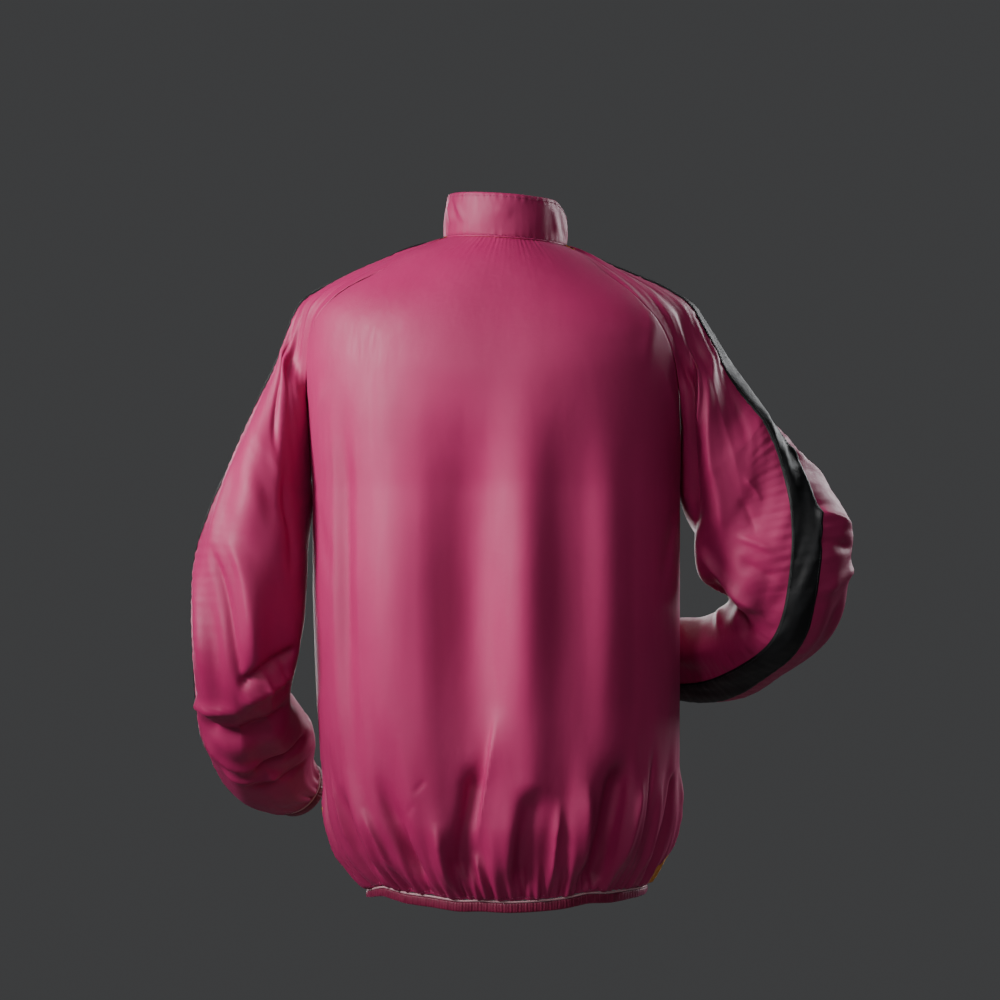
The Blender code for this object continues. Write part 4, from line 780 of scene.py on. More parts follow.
def seam_shape(distance, along, seed):
    """A panel's edge rolls under, and the cloth beside the seam puckers."""
    rng = np.random.default_rng(seed)
    lengths = rng.uniform(0.008, 0.015, 3)
    phases = rng.uniform(0, 2 * np.pi, 3)
    pucker = sum(np.sin(2 * np.pi * along / lengths[k] + phases[k]) for k in range(3)) / 3
    return -0.0009 * np.exp(-distance / 0.0009) + 0.00035 * pucker * np.exp(-distance / 0.008)


# ---- Meshes --------------------------------------------------------------------------------------
def fill_mesh(name, points, quads, materials, indices=None, uv=None):
    mesh = bpy.data.meshes.new(name)
    mesh.vertices.add(len(points))
    mesh.vertices.foreach_set("co", np.asarray(points, np.float32).ravel())
    quads = np.asarray(quads, np.int32)
    mesh.loops.add(quads.size)
    mesh.loops.foreach_set("vertex_index", quads.ravel())
    mesh.polygons.add(len(quads))
    mesh.polygons.foreach_set("loop_start", np.arange(0, quads.size, quads.shape[1], dtype=np.int32))
    mesh.update(calc_edges=True)
    if uv is not None:
        layer = mesh.uv_layers.new(name="cloth")
        layer.data.foreach_set("uv", np.asarray(uv, np.float32)[quads.ravel()].ravel())
    for material in materials:
        mesh.materials.append(material)
    if indices is not None:
        mesh.polygons.foreach_set("material_index", np.asarray(indices, np.int32))
    mesh.polygons.foreach_set("use_smooth", np.ones(len(quads), bool))
    mesh.validate()
    thing = bpy.data.objects.new(name, mesh)
    bpy.context.scene.collection.objects.link(thing)
    return thing


def grid_quads(rows, columns, start=0):
    i, j = np.meshgrid(np.arange(rows - 1), np.arange(columns - 1), indexing="ij")
    a = (start + i * columns + j).ravel()
    return np.stack([a, a + columns, a + columns + 1, a + 1], -1)


def point_numbers(grid):
    rows, columns = grid.shape[:2]
    return np.arange(rows * columns).reshape(rows, columns)


def two_sided(name, grid, inner, sign, uv, materials, lines):
    """A wall of cloth between an outer and an inner grid, with a rim along these lines of point numbers."""
    rows, columns = grid.shape[:2]
    count, face_count = rows * columns, (rows - 1) * (columns - 1)
    quads = grid_quads(rows, columns)
    rim = [np.stack([line[:-1], line[1:], line[1:] + count, line[:-1] + count], -1) for line in lines]
    quads = np.concatenate([quads, quads[:, ::-1] + count, *rim])
    indices = np.zeros(len(quads), int)
    indices[face_count : 2 * face_count] = len(materials) - 1
    points = np.concatenate([grid.reshape(-1, 3), inner.reshape(-1, 3)])
    both = np.concatenate([uv.reshape(-1, 2), uv.reshape(-1, 2)])
    return fill_mesh(name, points, quads if sign > 0 else quads[:, ::-1], materials, indices, both)


def cloth_panel(name, grid, sign, uv, outside, inside, wall=CLOTH):
    """A two-sided panel: the grid outside, the same moved in by the wall inside, and its rim."""
    number = point_numbers(grid)
    closed = np.linalg.norm(grid[:, 0] - grid[:, -1], axis=-1).max() < 1e-6
    lines = [number[0], number[-1][::-1]]
    if not closed:
        lines = [number[0], number[:, -1], number[-1][::-1], number[:, 0][::-1]]
    inner = grid - surface_normals(grid, sign) * wall
    thing = two_sided(name, grid, inner, sign, uv, [outside, inside], lines)
    if closed:
        weld(thing)
    return thing


def weld(thing):
    """Joins the two edges of a tube, and keeps its faces as they are."""
    bm = bmesh.new()
    bm.from_mesh(thing.data)
    bmesh.ops.remove_doubles(bm, verts=bm.verts[:], dist=0.000005)
    bm.to_mesh(thing.data)
    bm.free()


def pull_edges(grid, left, right, top, bottom):
    """Moves a grid's edges in along the cloth by these amounts."""
    moved = grid.copy()
    moved[:, 0] += unit(grid[:, 1] - grid[:, 0]) * left
    moved[:, -1] += unit(grid[:, -2] - grid[:, -1]) * right
    moved[0] += unit(grid[1] - grid[0]) * top
    moved[-1] += unit(grid[-2] - grid[-1]) * bottom
    return moved


def edge_places(count, length, fine=(0.0006, 0.0013, 0.0022, 0.0034)):
    """Places from 0 to 1 that crowd towards both ends, where a seam rolls the cloth."""
    fine = np.array(fine) / length
    middle = np.linspace(fine[-1], 1 - fine[-1], count)[1:-1]
    return np.concatenate([[0], fine, middle, 1 - fine[::-1], [1]])


# ---- Body panels ---------------------------------------------------------------------------------
def body_levels():
    """Levels from the collar seam to the hem: close at the seams and in the gathers."""
    top = np.array([0, 0.0015, 0.004, 0.008, 0.014])
    yoke = np.linspace(0.022, 1.0, 46)
    lower = 1 + np.linspace(0, 0.70, 34)[1:]
    skirt = np.concatenate([1.70 + np.linspace(0, 0.10, 17)[1:], 1.80 + np.linspace(0, 0.19, 36)[1:]])
    foot = np.array([1.9935, 1.996, 1.998, 1.999, 2.0])
    return np.concatenate([top, yoke, lower, skirt, foot])


def panel_limits(panel, levels):
    return np.array([panel_edges(panel, float(level)) for level in levels])


def body_grid(panel, levels, columns, width):
    limits = panel_limits(panel, levels)
    share = edge_places(columns, width)
    angles = limits[:, :1] + (limits[:, 1:] - limits[:, :1]) * share
    return angles, np.broadcast_to(levels[:, None], angles.shape)


def body_fine(angles, levels, grid):
    """Fine relief of a body panel's grid."""
    turns = angles / 360
    distance = (2 - levels) * LEVEL_LENGTH
    lift = crease_relief(BODY_CREASES, angles, levels, ANGLE_LENGTH, LEVEL_LENGTH)
    lift = lift + gather_relief(HEM_GATHERS, turns, distance)
    u, v = angles * ANGLE_LENGTH, levels * LEVEL_LENGTH
    lift = lift + slow_waves(u, v, 3, 0.140, 0.80, 0.0009) * ease(levels / 0.4)
    lift = lift + slow_waves(u, v, 5, 0.040, 0.16, 0.00022) * ease((levels - 1.2) / 0.5)
    along = row_lengths(grid)
    down = np.broadcast_to((levels * LEVEL_LENGTH), along.shape)
    for k, side in enumerate((along, along[:, -1:] - along)):
        lift = lift + seam_shape(side, down, 11 + k)
    lift = lift + seam_shape(levels * 0.12, u, 15) * (levels < 0.5)
    hold = ease(distance / 0.004)
    return lift * (0.35 + 0.65 * hold)


def make_body_panel(name, panel, top, bottom, columns, width, outside, inside, *nodes):
    levels = body_levels()
    keep = (levels >= top - 1e-6) & (levels <= bottom + 1e-6)
    levels = levels[keep]
    angles, level_grid = body_grid(panel, levels, columns, width)
    grid = body_point(angles, level_grid)
    normals = surface_normals(grid, 1)
    grid = grid + normals * body_fine(angles, level_grid, grid)[..., None]
    along = row_lengths(grid)
    middle = along[:, along.shape[1] // 2][:, None]
    uv = np.stack([along - middle, -level_grid * LEVEL_LENGTH], -1)
    grid = pull_edges(grid, SEAM, SEAM, SEAM, SEAM)
    thing = cloth_panel(name, grid, 1, uv, outside, inside)
    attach(thing, "garment")
    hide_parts(*nodes)
    return thing, grid, surface_normals(grid, 1)


# ---- Sleeves -------------------------------------------------------------------------------------
SLEEVE_SIDE = 82
CROOK_STEP = 0.0020  # rows nearer than this crowd each other
CROOK_ROUNDS = 200
SLEEVE_BAND = 20
SLEEVE_NODES = {
    "left": ("sleeve_left", "upper_arm_left", "forearm_left"),
    "right": ("sleeve_right", "upper_arm_right", "forearm_right", "wrist_right"),
}


def sleeve_columns():
    side = np.linspace(0, BAND_START, SLEEVE_SIDE + 1)
    edge = side[1] * np.array([0.16, 0.36, 0.64])
    side = np.concatenate([[0], edge, side[1:]])
    band = np.linspace(BAND_START, BAND_END, SLEEVE_BAND + 1)[1:]
    other = SLEEVE_COLUMNS - side[::-1][1:]
    return np.concatenate([side, band, other])


def sleeve_shares():
    return np.concatenate([1 - np.array([0, 0.003, 0.007, 0.012]), np.linspace(0.98, 0, 62)])


def band_relief(columns, down, rows_at):
    """The cloth puckers beside the band that is sewn on it."""
    first = (columns - BAND_START) * 0.0085
    last = (BAND_END - columns) * 0.0085
    edge = np.minimum(np.abs(first), np.abs(last))
    outside = (columns < BAND_START) | (columns > BAND_END)
    wave = np.sin(2 * np.pi * down / 0.0105 + 1.2 * np.sin(down / 0.021))
    wave = wave + 0.6 * np.sin(2 * np.pi * down / 0.0172 + 0.7)
    fade = np.where(outside, np.exp(-edge / 0.010), 0.35)
    return 0.00055 * wave * fade * rows_at


def open_crook(grid):
    """Rows that crowd together in the crook of the arm move apart."""
    grid = grid.copy()
    for _ in range(CROOK_ROUNDS):
        step = np.linalg.norm(np.diff(grid, axis=0), axis=-1)
        crowded = ease((CROOK_STEP - np.minimum(step[1:], step[:-1])) / (0.4 * CROOK_STEP))
        grid[1:-1] += ((grid[2:] + grid[:-2]) / 2 - grid[1:-1]) * crowded[..., None] * 0.6
    return grid


def make_sleeve(side, outside, inside):
    columns = sleeve_columns()
    shares = sleeve_shares()
    along = np.linspace(0, 1, 190)[1:] ** 1.02
    along = np.concatenate([[0.0], along])
    grid = sleeve_grid(side, columns, shares[:-1], along)
    count = len(shares) - 1
    # the closed rows meet under the arm without a step
    turns = np.broadcast_to(columns / SLEEVE_COLUMNS, grid.shape[:2])
    meeting = ease((turns - 0.8) / 0.2)
    grid[count:] += (grid[count:, :1] - grid[count:, -1:]) * meeting[count:, :, None]
    grid[count:, -1] = grid[count:, 0]
    grid[count:] = open_crook(grid[count:])
    sign = 1 if side == "right" else -1
    normals = surface_normals(grid, sign)
    down = row_lengths(grid.transpose(1, 0, 2)).T
    length = down[-1].mean()
    round_arm = row_lengths(grid)
    distance = down[-1:] - down
    middle_column = np.argmin(np.abs(columns - (BAND_START + BAND_END) / 2))
    axis_down = np.broadcast_to(down[:, middle_column][:, None], grid.shape[:2])
    cloth_v = np.broadcast_to(axis_down / length, grid.shape[:2])
    lift = crease_relief(SLEEVE_CREASES[side], turns, cloth_v, 0.38, length)
    lift = lift + gather_relief(CUFF_GATHERS, turns, distance)
    lift = lift + slow_waves(turns * 0.4, axis_down, 21 if side == "left" else 23, 0.07, 0.16, 0.0010)
    lift = lift + slow_waves(turns * 0.4, axis_down, 31, 0.028, 0.05, 0.00025)
    lift = lift * ease(distance / 0.004) * ease(axis_down / 0.01)
    lift = lift + band_relief(columns[None], axis_down, ease(distance / 0.02) * ease(axis_down / 0.01))
    lift = lift - (lift[:, -1:] - lift[:, :1]) * meeting
    lift = lift * ease(np.linalg.norm(np.gradient(grid, axis=0), axis=-1) / CROOK_STEP)
    rows = np.arange(len(grid))[:, None]
    in_cap = rows < count
    for edge in (round_arm, round_arm[:, -1:] - round_arm):
        lift = lift + seam_shape(edge, axis_down, 41) * in_cap
    grid = grid + normals * lift[..., None]
    grid[count:, -1] = grid[count:, 0]
    grid[count:] = open_crook(grid[count:])
    uv = np.stack([round_arm - round_arm[:, middle_column][:, None], -axis_down], -1)
    pulled = grid.copy()
    pulled[:count, 0] += unit(grid[:count, 1] - grid[:count, 0]) * SEAM
    pulled[:count, -1] += unit(grid[:count, -2] - grid[:count, -1]) * SEAM
    pulled[0] += unit(grid[1] - grid[0]) * SEAM
    pulled[-1] += unit(grid[-2] - grid[-1]) * SEAM
    pulled[count:, -1] = pulled[count:, 0]
    thing = tube_panel("cloth_sleeve_" + side, pulled, count, sign, uv, outside, inside)
    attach(thing, "garment")
    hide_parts(*SLEEVE_NODES[side])
    return thing, grid, normals, columns


def tube_panel(name, grid, open_rows, sign, uv, outside, inside):
    """A panel that is open between its first rows and closed into a tube below them."""
    inner = grid - surface_normals(grid, sign) * CLOTH
    inner[open_rows:, -1] = inner[open_rows:, 0]
    number = point_numbers(grid)
    lines = [number[0], number[: open_rows + 1, -1], number[-1][::-1], number[: open_rows + 1, 0][::-1]]
    thing = two_sided(name, grid, inner, sign, uv, [outside, inside], lines)
    weld(thing)
    return thing


# ---- Swept trims: piping, bindings, bands --------------------------------------------------------
def swept(name, sections, material, closed, uv_scale=1.0):
    """A solid swept through closed sections, with lengths in metres for its UVs."""
    sections = np.asarray(sections, float)
    ring = np.concatenate([sections, sections[:, :1]], 1)
    if closed:
        ring = np.concatenate([ring, ring[:1]], 0)
    rows, columns = ring.shape[:2]
    along = run_length(ring.mean(1))
    across = run_length(ring[0])
    uv = np.stack(np.broadcast_arrays(along[:, None], across[None, :]), -1) * uv_scale
    quads = grid_quads(rows, columns)
    thing = fill_mesh(name, ring.reshape(-1, 3), quads, [material], None, uv.reshape(-1, 2))
    bm = bmesh.new()
    bm.from_mesh(thing.data)
    bmesh.ops.remove_doubles(bm, verts=bm.verts[:], dist=0.000002)
    bmesh.ops.holes_fill(bm, edges=[edge for edge in bm.edges if edge.is_boundary], sides=0)
    bmesh.ops.recalc_face_normals(bm, faces=bm.faces[:])
    bm.to_mesh(thing.data)
    bm.free()
    return thing


def ride(thing, node=None, body="garment"):
    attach(thing, body)
    if node:
        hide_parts(*([node] if isinstance(node, str) else node))
    return thing


def round_profile(top, away, ray, height, thickness, outside, corners=12):
    """Rounded sections of an edging that hangs from a path: long along away, thin along ray."""
    turns = np.linspace(0, 2 * np.pi, corners, endpoint=False)
    power = 0.55
    c = np.sign(np.cos(turns)) * np.abs(np.cos(turns)) ** power
    s = np.sign(np.sin(turns)) * np.abs(np.sin(turns)) ** power
    height = np.broadcast_to(height, len(top))[:, None, None]
    thickness = np.broadcast_to(thickness, len(top))[:, None, None]
    middle = top[:, None] + away[:, None] * height / 2 + ray[:, None] * (outside - thickness / 2)
    along, across = away[:, None] * s[None, :, None], ray[:, None] * c[None, :, None]
    return middle + along * height / 2 + across * thickness / 2


def ribbed(sections, ray, pitch, depth):
    """Ribs across an edging: its outer side swells and sinks along its length."""
    middle = sections.mean(1)
    along = run_length(middle)
    wave = np.sin(2 * np.pi * along / pitch)
    side = np.einsum("ijk,ik->ij", sections - middle[:, None], ray)
    side = np.clip(side / np.abs(side).max(1, keepdims=True), -1, 1)
    return sections + ray[:, None] * (side * (wave * depth)[:, None])[..., None]


def even_path(points, step, closed):
    """Points at even steps along a path."""
    if closed:
        points = np.concatenate([points, points[:1]])
    length = run_length(points)
    count = max(int(round(length[-1] / step)), 8)
    places = np.linspace(0, length[-1], count + 1)
    if closed:
        places = places[:-1]
    return np.stack([np.interp(places, length, points[:, k]) for k in range(3)], -1), places


PUCKER_PITCH = 0.0052
TRIM_STEP = 0.0009


def make_edge_trims(name, path, away, ray, closed, heights, materials, nodes):
    """Piping and the ribbed binding below it, from a path along the cloth's edge."""
    piping_material, binding_material = materials
    gap = SEAM + CLEAR
    top = path + away * gap
    sections = round_profile(top, away, ray, PIPING_HEIGHT, 0.0020, 0.0005, 8)
    piping = swept("piping_" + name, sections, piping_material, closed)
    ride(piping, nodes[0])
    top = path + away * (gap + PIPING_HEIGHT + CLEAR)
    sections = round_profile(top, away, ray, heights, 0.0032, 0.0008, 14)
    binding = swept("binding_" + name, ribbed(sections, ray, PUCKER_PITCH, 0.00016), binding_material, closed)
    ride(binding, nodes[1])


def make_hem_trims(materials):
    start = float(zip_angle(HEM_LEVEL))
    angles = np.linspace(start, 360 - start, 1200)
    edge = body_point(angles, np.full(len(angles), HEM_LEVEL))
    path, _ = even_path(edge, TRIM_STEP, False)
    length = run_length(path)
    angles = np.interp(length, run_length(edge), angles)
    level = np.full(len(angles), HEM_LEVEL)
    across = body_base(angles + 1, level) - body_base(angles - 1, level)
    across[:, 2] = 0
    ray = unit(np.cross(across, [0, 0, 1]))
    along = unit(np.cross([0, 0, 1.0], ray))
    path[0] += along[0] * SEAM
    path[-1] -= along[-1] * SEAM
    away = np.broadcast_to([0.0, 0.0, -1.0], path.shape)
    heights = BINDING_HEIGHT * (1 - BINDING_ROLL * turn(angles)[0] ** 8)
    make_edge_trims("hem", path, away, ray, False, heights, materials, ("hem_piping", "hem_binding"))


def make_cuff_trims(side, materials):
    columns = np.linspace(0, SLEEVE_COLUMNS, 361)[:-1]
    path = arm_grid(side, columns, [1.0])[0]
    path, _ = even_path(path, TRIM_STEP, True)
    middle = path.mean(0)
    axis = sleeve_frames(side)[3][-1]
    ray = path - middle
    ray = unit(ray - np.outer(ray @ axis, axis))
    away = np.broadcast_to(axis, path.shape)
    nodes = ("cuff_piping_" + side, "cuff_binding_" + side)
    make_edge_trims("cuff_" + side, path, away, ray, True, CUFF_BINDING, materials, nodes)


def make_tape(side, grid, normals, columns, material):
    """The broad band sewn down the sleeve: its edges turn down to the cloth."""
    inside = (columns >= BAND_START - 1e-9) & (columns <= BAND_END + 1e-9)
    band, lift = grid[:, inside], normals[:, inside]
    share = np.linspace(-1, 1, band.shape[1])
    rise = 0.0011 - 0.0007 * np.abs(share) ** 14
    top = band + lift * (CLEAR + rise)[None, :, None]
    low = band + lift * CLEAR
    number = point_numbers(band)
    lines = [number[0], number[:, -1], number[-1][::-1], number[:, 0][::-1]]
    down = run_length(band[:, band.shape[1] // 2])
    uv = np.stack(np.broadcast_arrays(share * BAND_WIDTH / 2, -down[:, None]), -1)
    sign = 1 if side == "right" else -1
    thing = two_sided("tape_" + side, top, low, sign, uv, [material], lines)
    return ride(thing, "sleeve_tape_" + side)


# ---- Stitches ------------------------------------------------------------------------------------
STITCH = 0.0026
STITCH_GAP = 0.0009
THREAD = 0.00026
STITCH_RISE = 0.00012


def stitch_line(path, normals):
    """Points and faces of a run of stitches that lies on a path."""
    length = run_length(path)
    count = int((length[-1] - STITCH) // (STITCH + STITCH_GAP))
    starts = np.arange(count) * (STITCH + STITCH_GAP) + STITCH_GAP
    stops = np.array([0.0, 0.18, 0.5, 0.82, 1.0])
    heights = np.array([-0.6, 0.35, 1.0, 0.35, -0.6]) * THREAD + STITCH_RISE
    sizes = np.array([0.55, 0.95, 1.0, 0.95, 0.55]) * THREAD
    places = starts[:, None] + stops * STITCH
    points = np.stack([np.interp(places, length, path[:, k]) for k in range(3)], -1)
    ups = unit(np.stack([np.interp(places, length, normals[:, k]) for k in range(3)], -1))
    along = unit(np.gradient(points, axis=1))
    side = unit(np.cross(along, ups))
    middle = points + ups * heights[None, :, None]
    turns = np.radians([45, 135, 225, 315])
    ring = (
        middle[:, :, None]
        + side[:, :, None] * (np.cos(turns) * 1.0)[None, None, :, None] * sizes[None, :, None, None]
        + ups[:, :, None] * np.sin(turns)[None, None, :, None] * sizes[None, :, None, None]
    )
    flat = ring.reshape(-1, 3)
    base = np.arange(count)[:, None] * 20
    quads = []
    for ring_number in range(4):
        for corner in range(4):
            a = ring_number * 4 + corner
            b = ring_number * 4 + (corner + 1) % 4
            quads.append([a, b, b + 4, a + 4])
    quads += [[3, 2, 1, 0], [16, 17, 18, 19]]
    quads = np.array(quads)
    return flat, (base[:, None] + quads[None]).reshape(-1, 4)


def make_stitches(name, runs, material):
    points, faces, base = [], [], 0
    for path, normals in runs:
        found, quads = stitch_line(np.asarray(path), np.asarray(normals))
        points.append(found)
        faces.append(quads + base)
        base += len(found)
    thing = fill_mesh(name, np.concatenate(points), np.concatenate(faces), [material])
    bm = bmesh.new()
    bm.from_mesh(thing.data)
    bmesh.ops.recalc_face_normals(bm, faces=bm.faces[:])
    bm.to_mesh(thing.data)
    bm.free()
    return ride(thing)


def grid_line(grid, normals, row=None, column=None, offset=0.0):
    """A line on a cloth grid, this far in from its first (0) or last (-1) row or column."""
    edge = column
    if column is None:
        edge = row
        grid, normals = grid.transpose(1, 0, 2), normals.transpose(1, 0, 2)
    lengths = row_lengths(grid)
    places = lengths[:, -1] - offset if edge < 0 else np.full(len(grid), offset)
    line, ups = (
        np.array([[np.interp(p, l, r[:, k]) for k in range(3)] for p, l, r in zip(places, lengths, rows)])
        for rows in (grid, normals)
    )
    return line, unit(ups)


# ---- Collar --------------------------------------------------------------------------------------
COLLAR_CREASES = [
    crease(104.0, 0.86, 122.0, 0.22, 0.0045, 0.0014),
    crease(112.0, 0.92, 131.0, 0.34, 0.0040, -0.0013),
    crease(121.0, 0.80, 140.0, 0.30, 0.0045, 0.0011),
    crease(232.0, 0.92, 238.0, 0.10, 0.0060, 0.0016),
    crease(244.0, 0.90, 248.0, 0.10, 0.0050, -0.0013),
    crease(262.0, 0.80, 254.0, 0.20, 0.0050, 0.0012),
    crease(276.0, 0.90, 286.0, 0.20, 0.0060, -0.0014),
    crease(60.0, 0.85, 48.0, 0.25, 0.0055, 0.0012),
    crease(310.0, 0.85, 322.0, 0.25, 0.0055, -0.0012),
    crease(170.0, 0.70, 188.0, 0.50, 0.0070, 0.0007),
]


def collar_point(angle, share):
    """The collar's outside: share 0 at the seam, 1 at its top edge."""
    angle, share = np.broadcast_arrays(np.asarray(angle, float), np.asarray(share, float))
    base = neck_point(angle)
    sine, cosine = turn(angle)
    front = np.maximum(cosine, 0)
    height = COLLAR_BACK + (COLLAR_FRONT - COLLAR_BACK) * front
    slump = 0.016 * bump((angle - 272) / 34)
    lean = 0.0045 * share * (1 - 1.1 * bump((angle - 272) / 40)) - 0.0015 * np.sin(np.pi * share)
    ray = np.stack([sine, -cosine, 0 * sine], -1)
    point = base - ray * lean[..., None]
    point[..., 2] += (height - slump) * share
    point[..., 1] += front**2 * share * 0.010
    return point


def make_collar(outside, inside):
    edge = float(zip_angle(0.0))
    angles = np.linspace(edge, 360 - edge, 300)
    upper, lower = [1.0, 0.992, 0.975, 0.95], [0.045, 0.02, 0.006, 0.0]
    shares = np.concatenate([upper, np.linspace(0.91, 0.08, 24), lower])
    angle, share = np.broadcast_arrays(angles[None, :], shares[:, None])
    grid = collar_point(angle, share)
    grid[-1, :, 2] += 2 * CLEAR
    normals = surface_normals(grid, 1)
    length, height = 0.00125, 0.050
    lift = crease_relief(COLLAR_CREASES, angle, share, length, height)
    down = (1 - share) * height
    lift = lift + slow_waves(angle * length, down, 51, 0.045, 0.05, 0.0004) * ease(share / 0.1)
    lift = lift + seam_shape(share * height, angle * length, 53)
    round_neck = 2 * np.pi * angle * length
    pucker = np.sin(round_neck / 0.0088) + 0.5 * np.sin(round_neck / 0.0131 + 1)
    lift = lift + 0.00022 * pucker * np.exp(-(((down - 0.004) / 0.004) ** 2))
    lift = lift - 0.0008 * np.exp(-down / 0.0012)
    grid = grid + normals * lift[..., None]
    uv = np.stack([angle * length, -down], -1)
    grid = pull_edges(grid, SEAM, SEAM, 0, SEAM)
    thing = cloth_panel("cloth_collar", grid, 1, uv, outside, inside, wall=0.0019)
    ride(thing, "collar")
    return thing, grid, surface_normals(grid, 1)


# ---- Zip -----------------------------------------------------------------------------------------
def zip_line(count=400):
    """Middle points of the zip from the collar's top edge to the foot of the hem binding, and its front."""
    shares = np.linspace(1, 0, 30)[:-1]
    top = collar_point(np.zeros(29), shares)
    levels = np.linspace(0.0, 2.0, 160)[3:]
    body = body_base(np.zeros(len(levels)), levels)
    foot = body[-1] - [0, 0, SEAM + 2 * CLEAR + PIPING_HEIGHT + BINDING_HEIGHT]
    rough = np.concatenate([top, body, foot[None]])
    length = run_length(rough)
    places = np.linspace(0, length[-1], count)
    knots = np.linspace(0, length[-1], 60)
    coarse = np.stack([np.interp(knots, length, rough[:, k]) for k in range(3)], -1)
    line = spline(knots, coarse, places)[0]
    along = unit(np.gradient(line, axis=0))
    front = unit(np.cross(along, [1.0, 0, 0]))
    front[front[:, 1] > 0] *= -1
    return line, along, front, places


TOOTH_PITCH = 0.0022


def make_zip(tape, tooth_material):
    line, along, front, places = zip_line()
    pieces = []
    half, gap = ZIP_HALF - 2 * CLEAR, 0.0003
    for name, sign in (("left", 1), ("right", -1)):
        inner = np.array([sign * gap, 0, 0])
        outer = np.array([sign * half, 0, 0])
        high, low = line - front * 0.0007, line - front * 0.0016
        sections = np.stack([high + outer, high + inner, low + inner, low + outer], 1)
        pieces.append(swept("zip_tape_" + name, sections, tape, False))
    for piece in pieces:
        ride(piece, "zip")
    count = int(places[-1] / TOOTH_PITCH * 2) - 4
    points, faces = [], []
    half = [(-0.0003, 0.00045), (0.0013, 0.00040), (0.0026, 0.00022)]
    profile = [(-0.0003, -0.00045), *half, (0.0026, -0.00022), (0.0013, -0.00040)]
    for k in range(count):
        at = (k + 2) * TOOTH_PITCH / 2
        middle = np.array([np.interp(at, places, line[:, i]) for i in range(3)])
        down = unit(np.array([np.interp(at, places, along[:, i]) for i in range(3)]))
        out = unit(np.array([np.interp(at, places, front[:, i]) for i in range(3)]))
        sign = 1 if k % 2 else -1
        start = len(points)
        for height, inset in ((-0.0008, 1.0), (0.0000, 1.0), (0.0003, 0.72)):
            for x, y in profile:
                x = x if inset == 1.0 else 0.0011 + (x - 0.0011) * 0.85
                points.append(middle + np.array([sign * x, 0, 0]) + down * y * inset + out * height)
        size = len(profile)
        for ring_number in range(2):
            for i in range(size):
                a = start + ring_number * size + i
                b = start + ring_number * size + (i + 1) % size
                faces.append((a, b, b + size, a + size))
        faces.append(tuple(start + 2 * size + i for i in range(size)))
        faces.append(tuple(start + i for i in range(size))[::-1])
    mesh = bpy.data.meshes.new("zip_teeth")
    mesh.from_pydata([tuple(p) for p in points], [], faces)
    mesh.materials.append(tooth_material)
    bm = bmesh.new()
    bm.from_mesh(mesh)
    bmesh.ops.recalc_face_normals(bm, faces=bm.faces[:])
    bm.to_mesh(mesh)
    bm.free()
    teeth = bpy.data.objects.new("zip_teeth", mesh)
    bpy.context.scene.collection.objects.link(teeth)
    ride(teeth, "zip")


# ---- Slider and pull: across the zip, down it and out from it ------------------------------------
SLIDER_SHARE = 0.80
PLATE_HALF = 0.0040
PLATE_LENGTH = 0.0100
PLATE_WALL = 0.0018
ARCH_REACH = 0.0040
ARCH_TOP = 0.0060
PIVOT_OUT = 0.0035
PULL_HALF = 0.0027
PULL_LENGTH = 0.0250
PULL_WALL = 0.0012


def slider_frame():
    above, place, below = collar_point(np.zeros(3), SLIDER_SHARE + np.array([0.05, 0, -0.05]))
    down = unit(below - above)
    out = unit(np.cross(down, [1.0, 0, 0]))
    out = out if out[1] < 0 else -out
    return place + out * 0.0002, np.array([1.0, 0, 0]), down, out


def placed(points):
    origin, side, along, front = slider_frame()
    points = np.asarray(points, float)
    across, down, out = points.T
    return origin + np.outer(across, side) + np.outer(down, along) + np.outer(out, front)


def fill_round_eye(bm, outer, eye):
    """Fills a plate round its eye with two halves and the two ends between them."""
    half, around = len(outer) // 2, len(eye)
    first = min(range(around), key=lambda k: eye[k].co.y)
    last = first + around // 2
    bm.faces.new(outer[:half] + [eye[k % around] for k in range(last, first - 1, -1)])
    bm.faces.new(outer[half:] + [eye[k % around] for k in range(first + around, last - 1, -1)])
    bm.faces.new((outer[half - 1], outer[half], eye[last % around]))
    bm.faces.new((outer[-1], outer[0], eye[first]))


def plate_object(name, outline, hole, low, high, bevel, material):
    """A flat plate with rounded edges and maybe a hole: outlines are across and down."""
    bm = bmesh.new()
    outer = [bm.verts.new((x, y, low)) for x, y in outline]
    if hole is None:
        bm.faces.new(outer)
    else:
        fill_round_eye(bm, outer, [bm.verts.new((x, y, low)) for x, y in hole])
    faces = bm.faces[:]
    lifted = bmesh.ops.extrude_face_region(bm, geom=faces)
    top = [item for item in lifted["geom"] if isinstance(item, bmesh.types.BMVert)]
    bmesh.ops.translate(bm, verts=top, vec=(0, 0, high - low))
    bmesh.ops.recalc_face_normals(bm, faces=bm.faces[:])
    sharp = [edge for edge in bm.edges if len(edge.link_faces) == 2 and edge.calc_face_angle() > 1.2]
    bmesh.ops.bevel(bm, geom=sharp, offset=bevel, segments=3, profile=0.5, affect="EDGES")
    bmesh.ops.triangulate(bm, faces=[face for face in bm.faces if len(face.verts) > 4])
    points = placed([tuple(v.co) for v in bm.verts])
    for vertex, point in zip(bm.verts, points):
        vertex.co = point
    bmesh.ops.recalc_face_normals(bm, faces=bm.faces[:])
    mesh = bpy.data.meshes.new(name)
    bm.to_mesh(mesh)
    bm.free()
    mesh.materials.append(material)
    mesh.shade_smooth()
    mesh.set_sharp_from_angle(angle=math.radians(40))
    thing = bpy.data.objects.new(name, mesh)
    bpy.context.scene.collection.objects.link(thing)
    return thing


def oval(half_x, half_y, middle_y, count=24, power=0.6):
    turns = np.linspace(0, 2 * np.pi, count, endpoint=False)
    c, s = np.cos(turns), np.sin(turns)
    x = half_x * np.sign(c) * np.abs(c) ** power
    y = middle_y + half_y * np.sign(s) * np.abs(s) ** power
    return np.stack([x, y], -1)


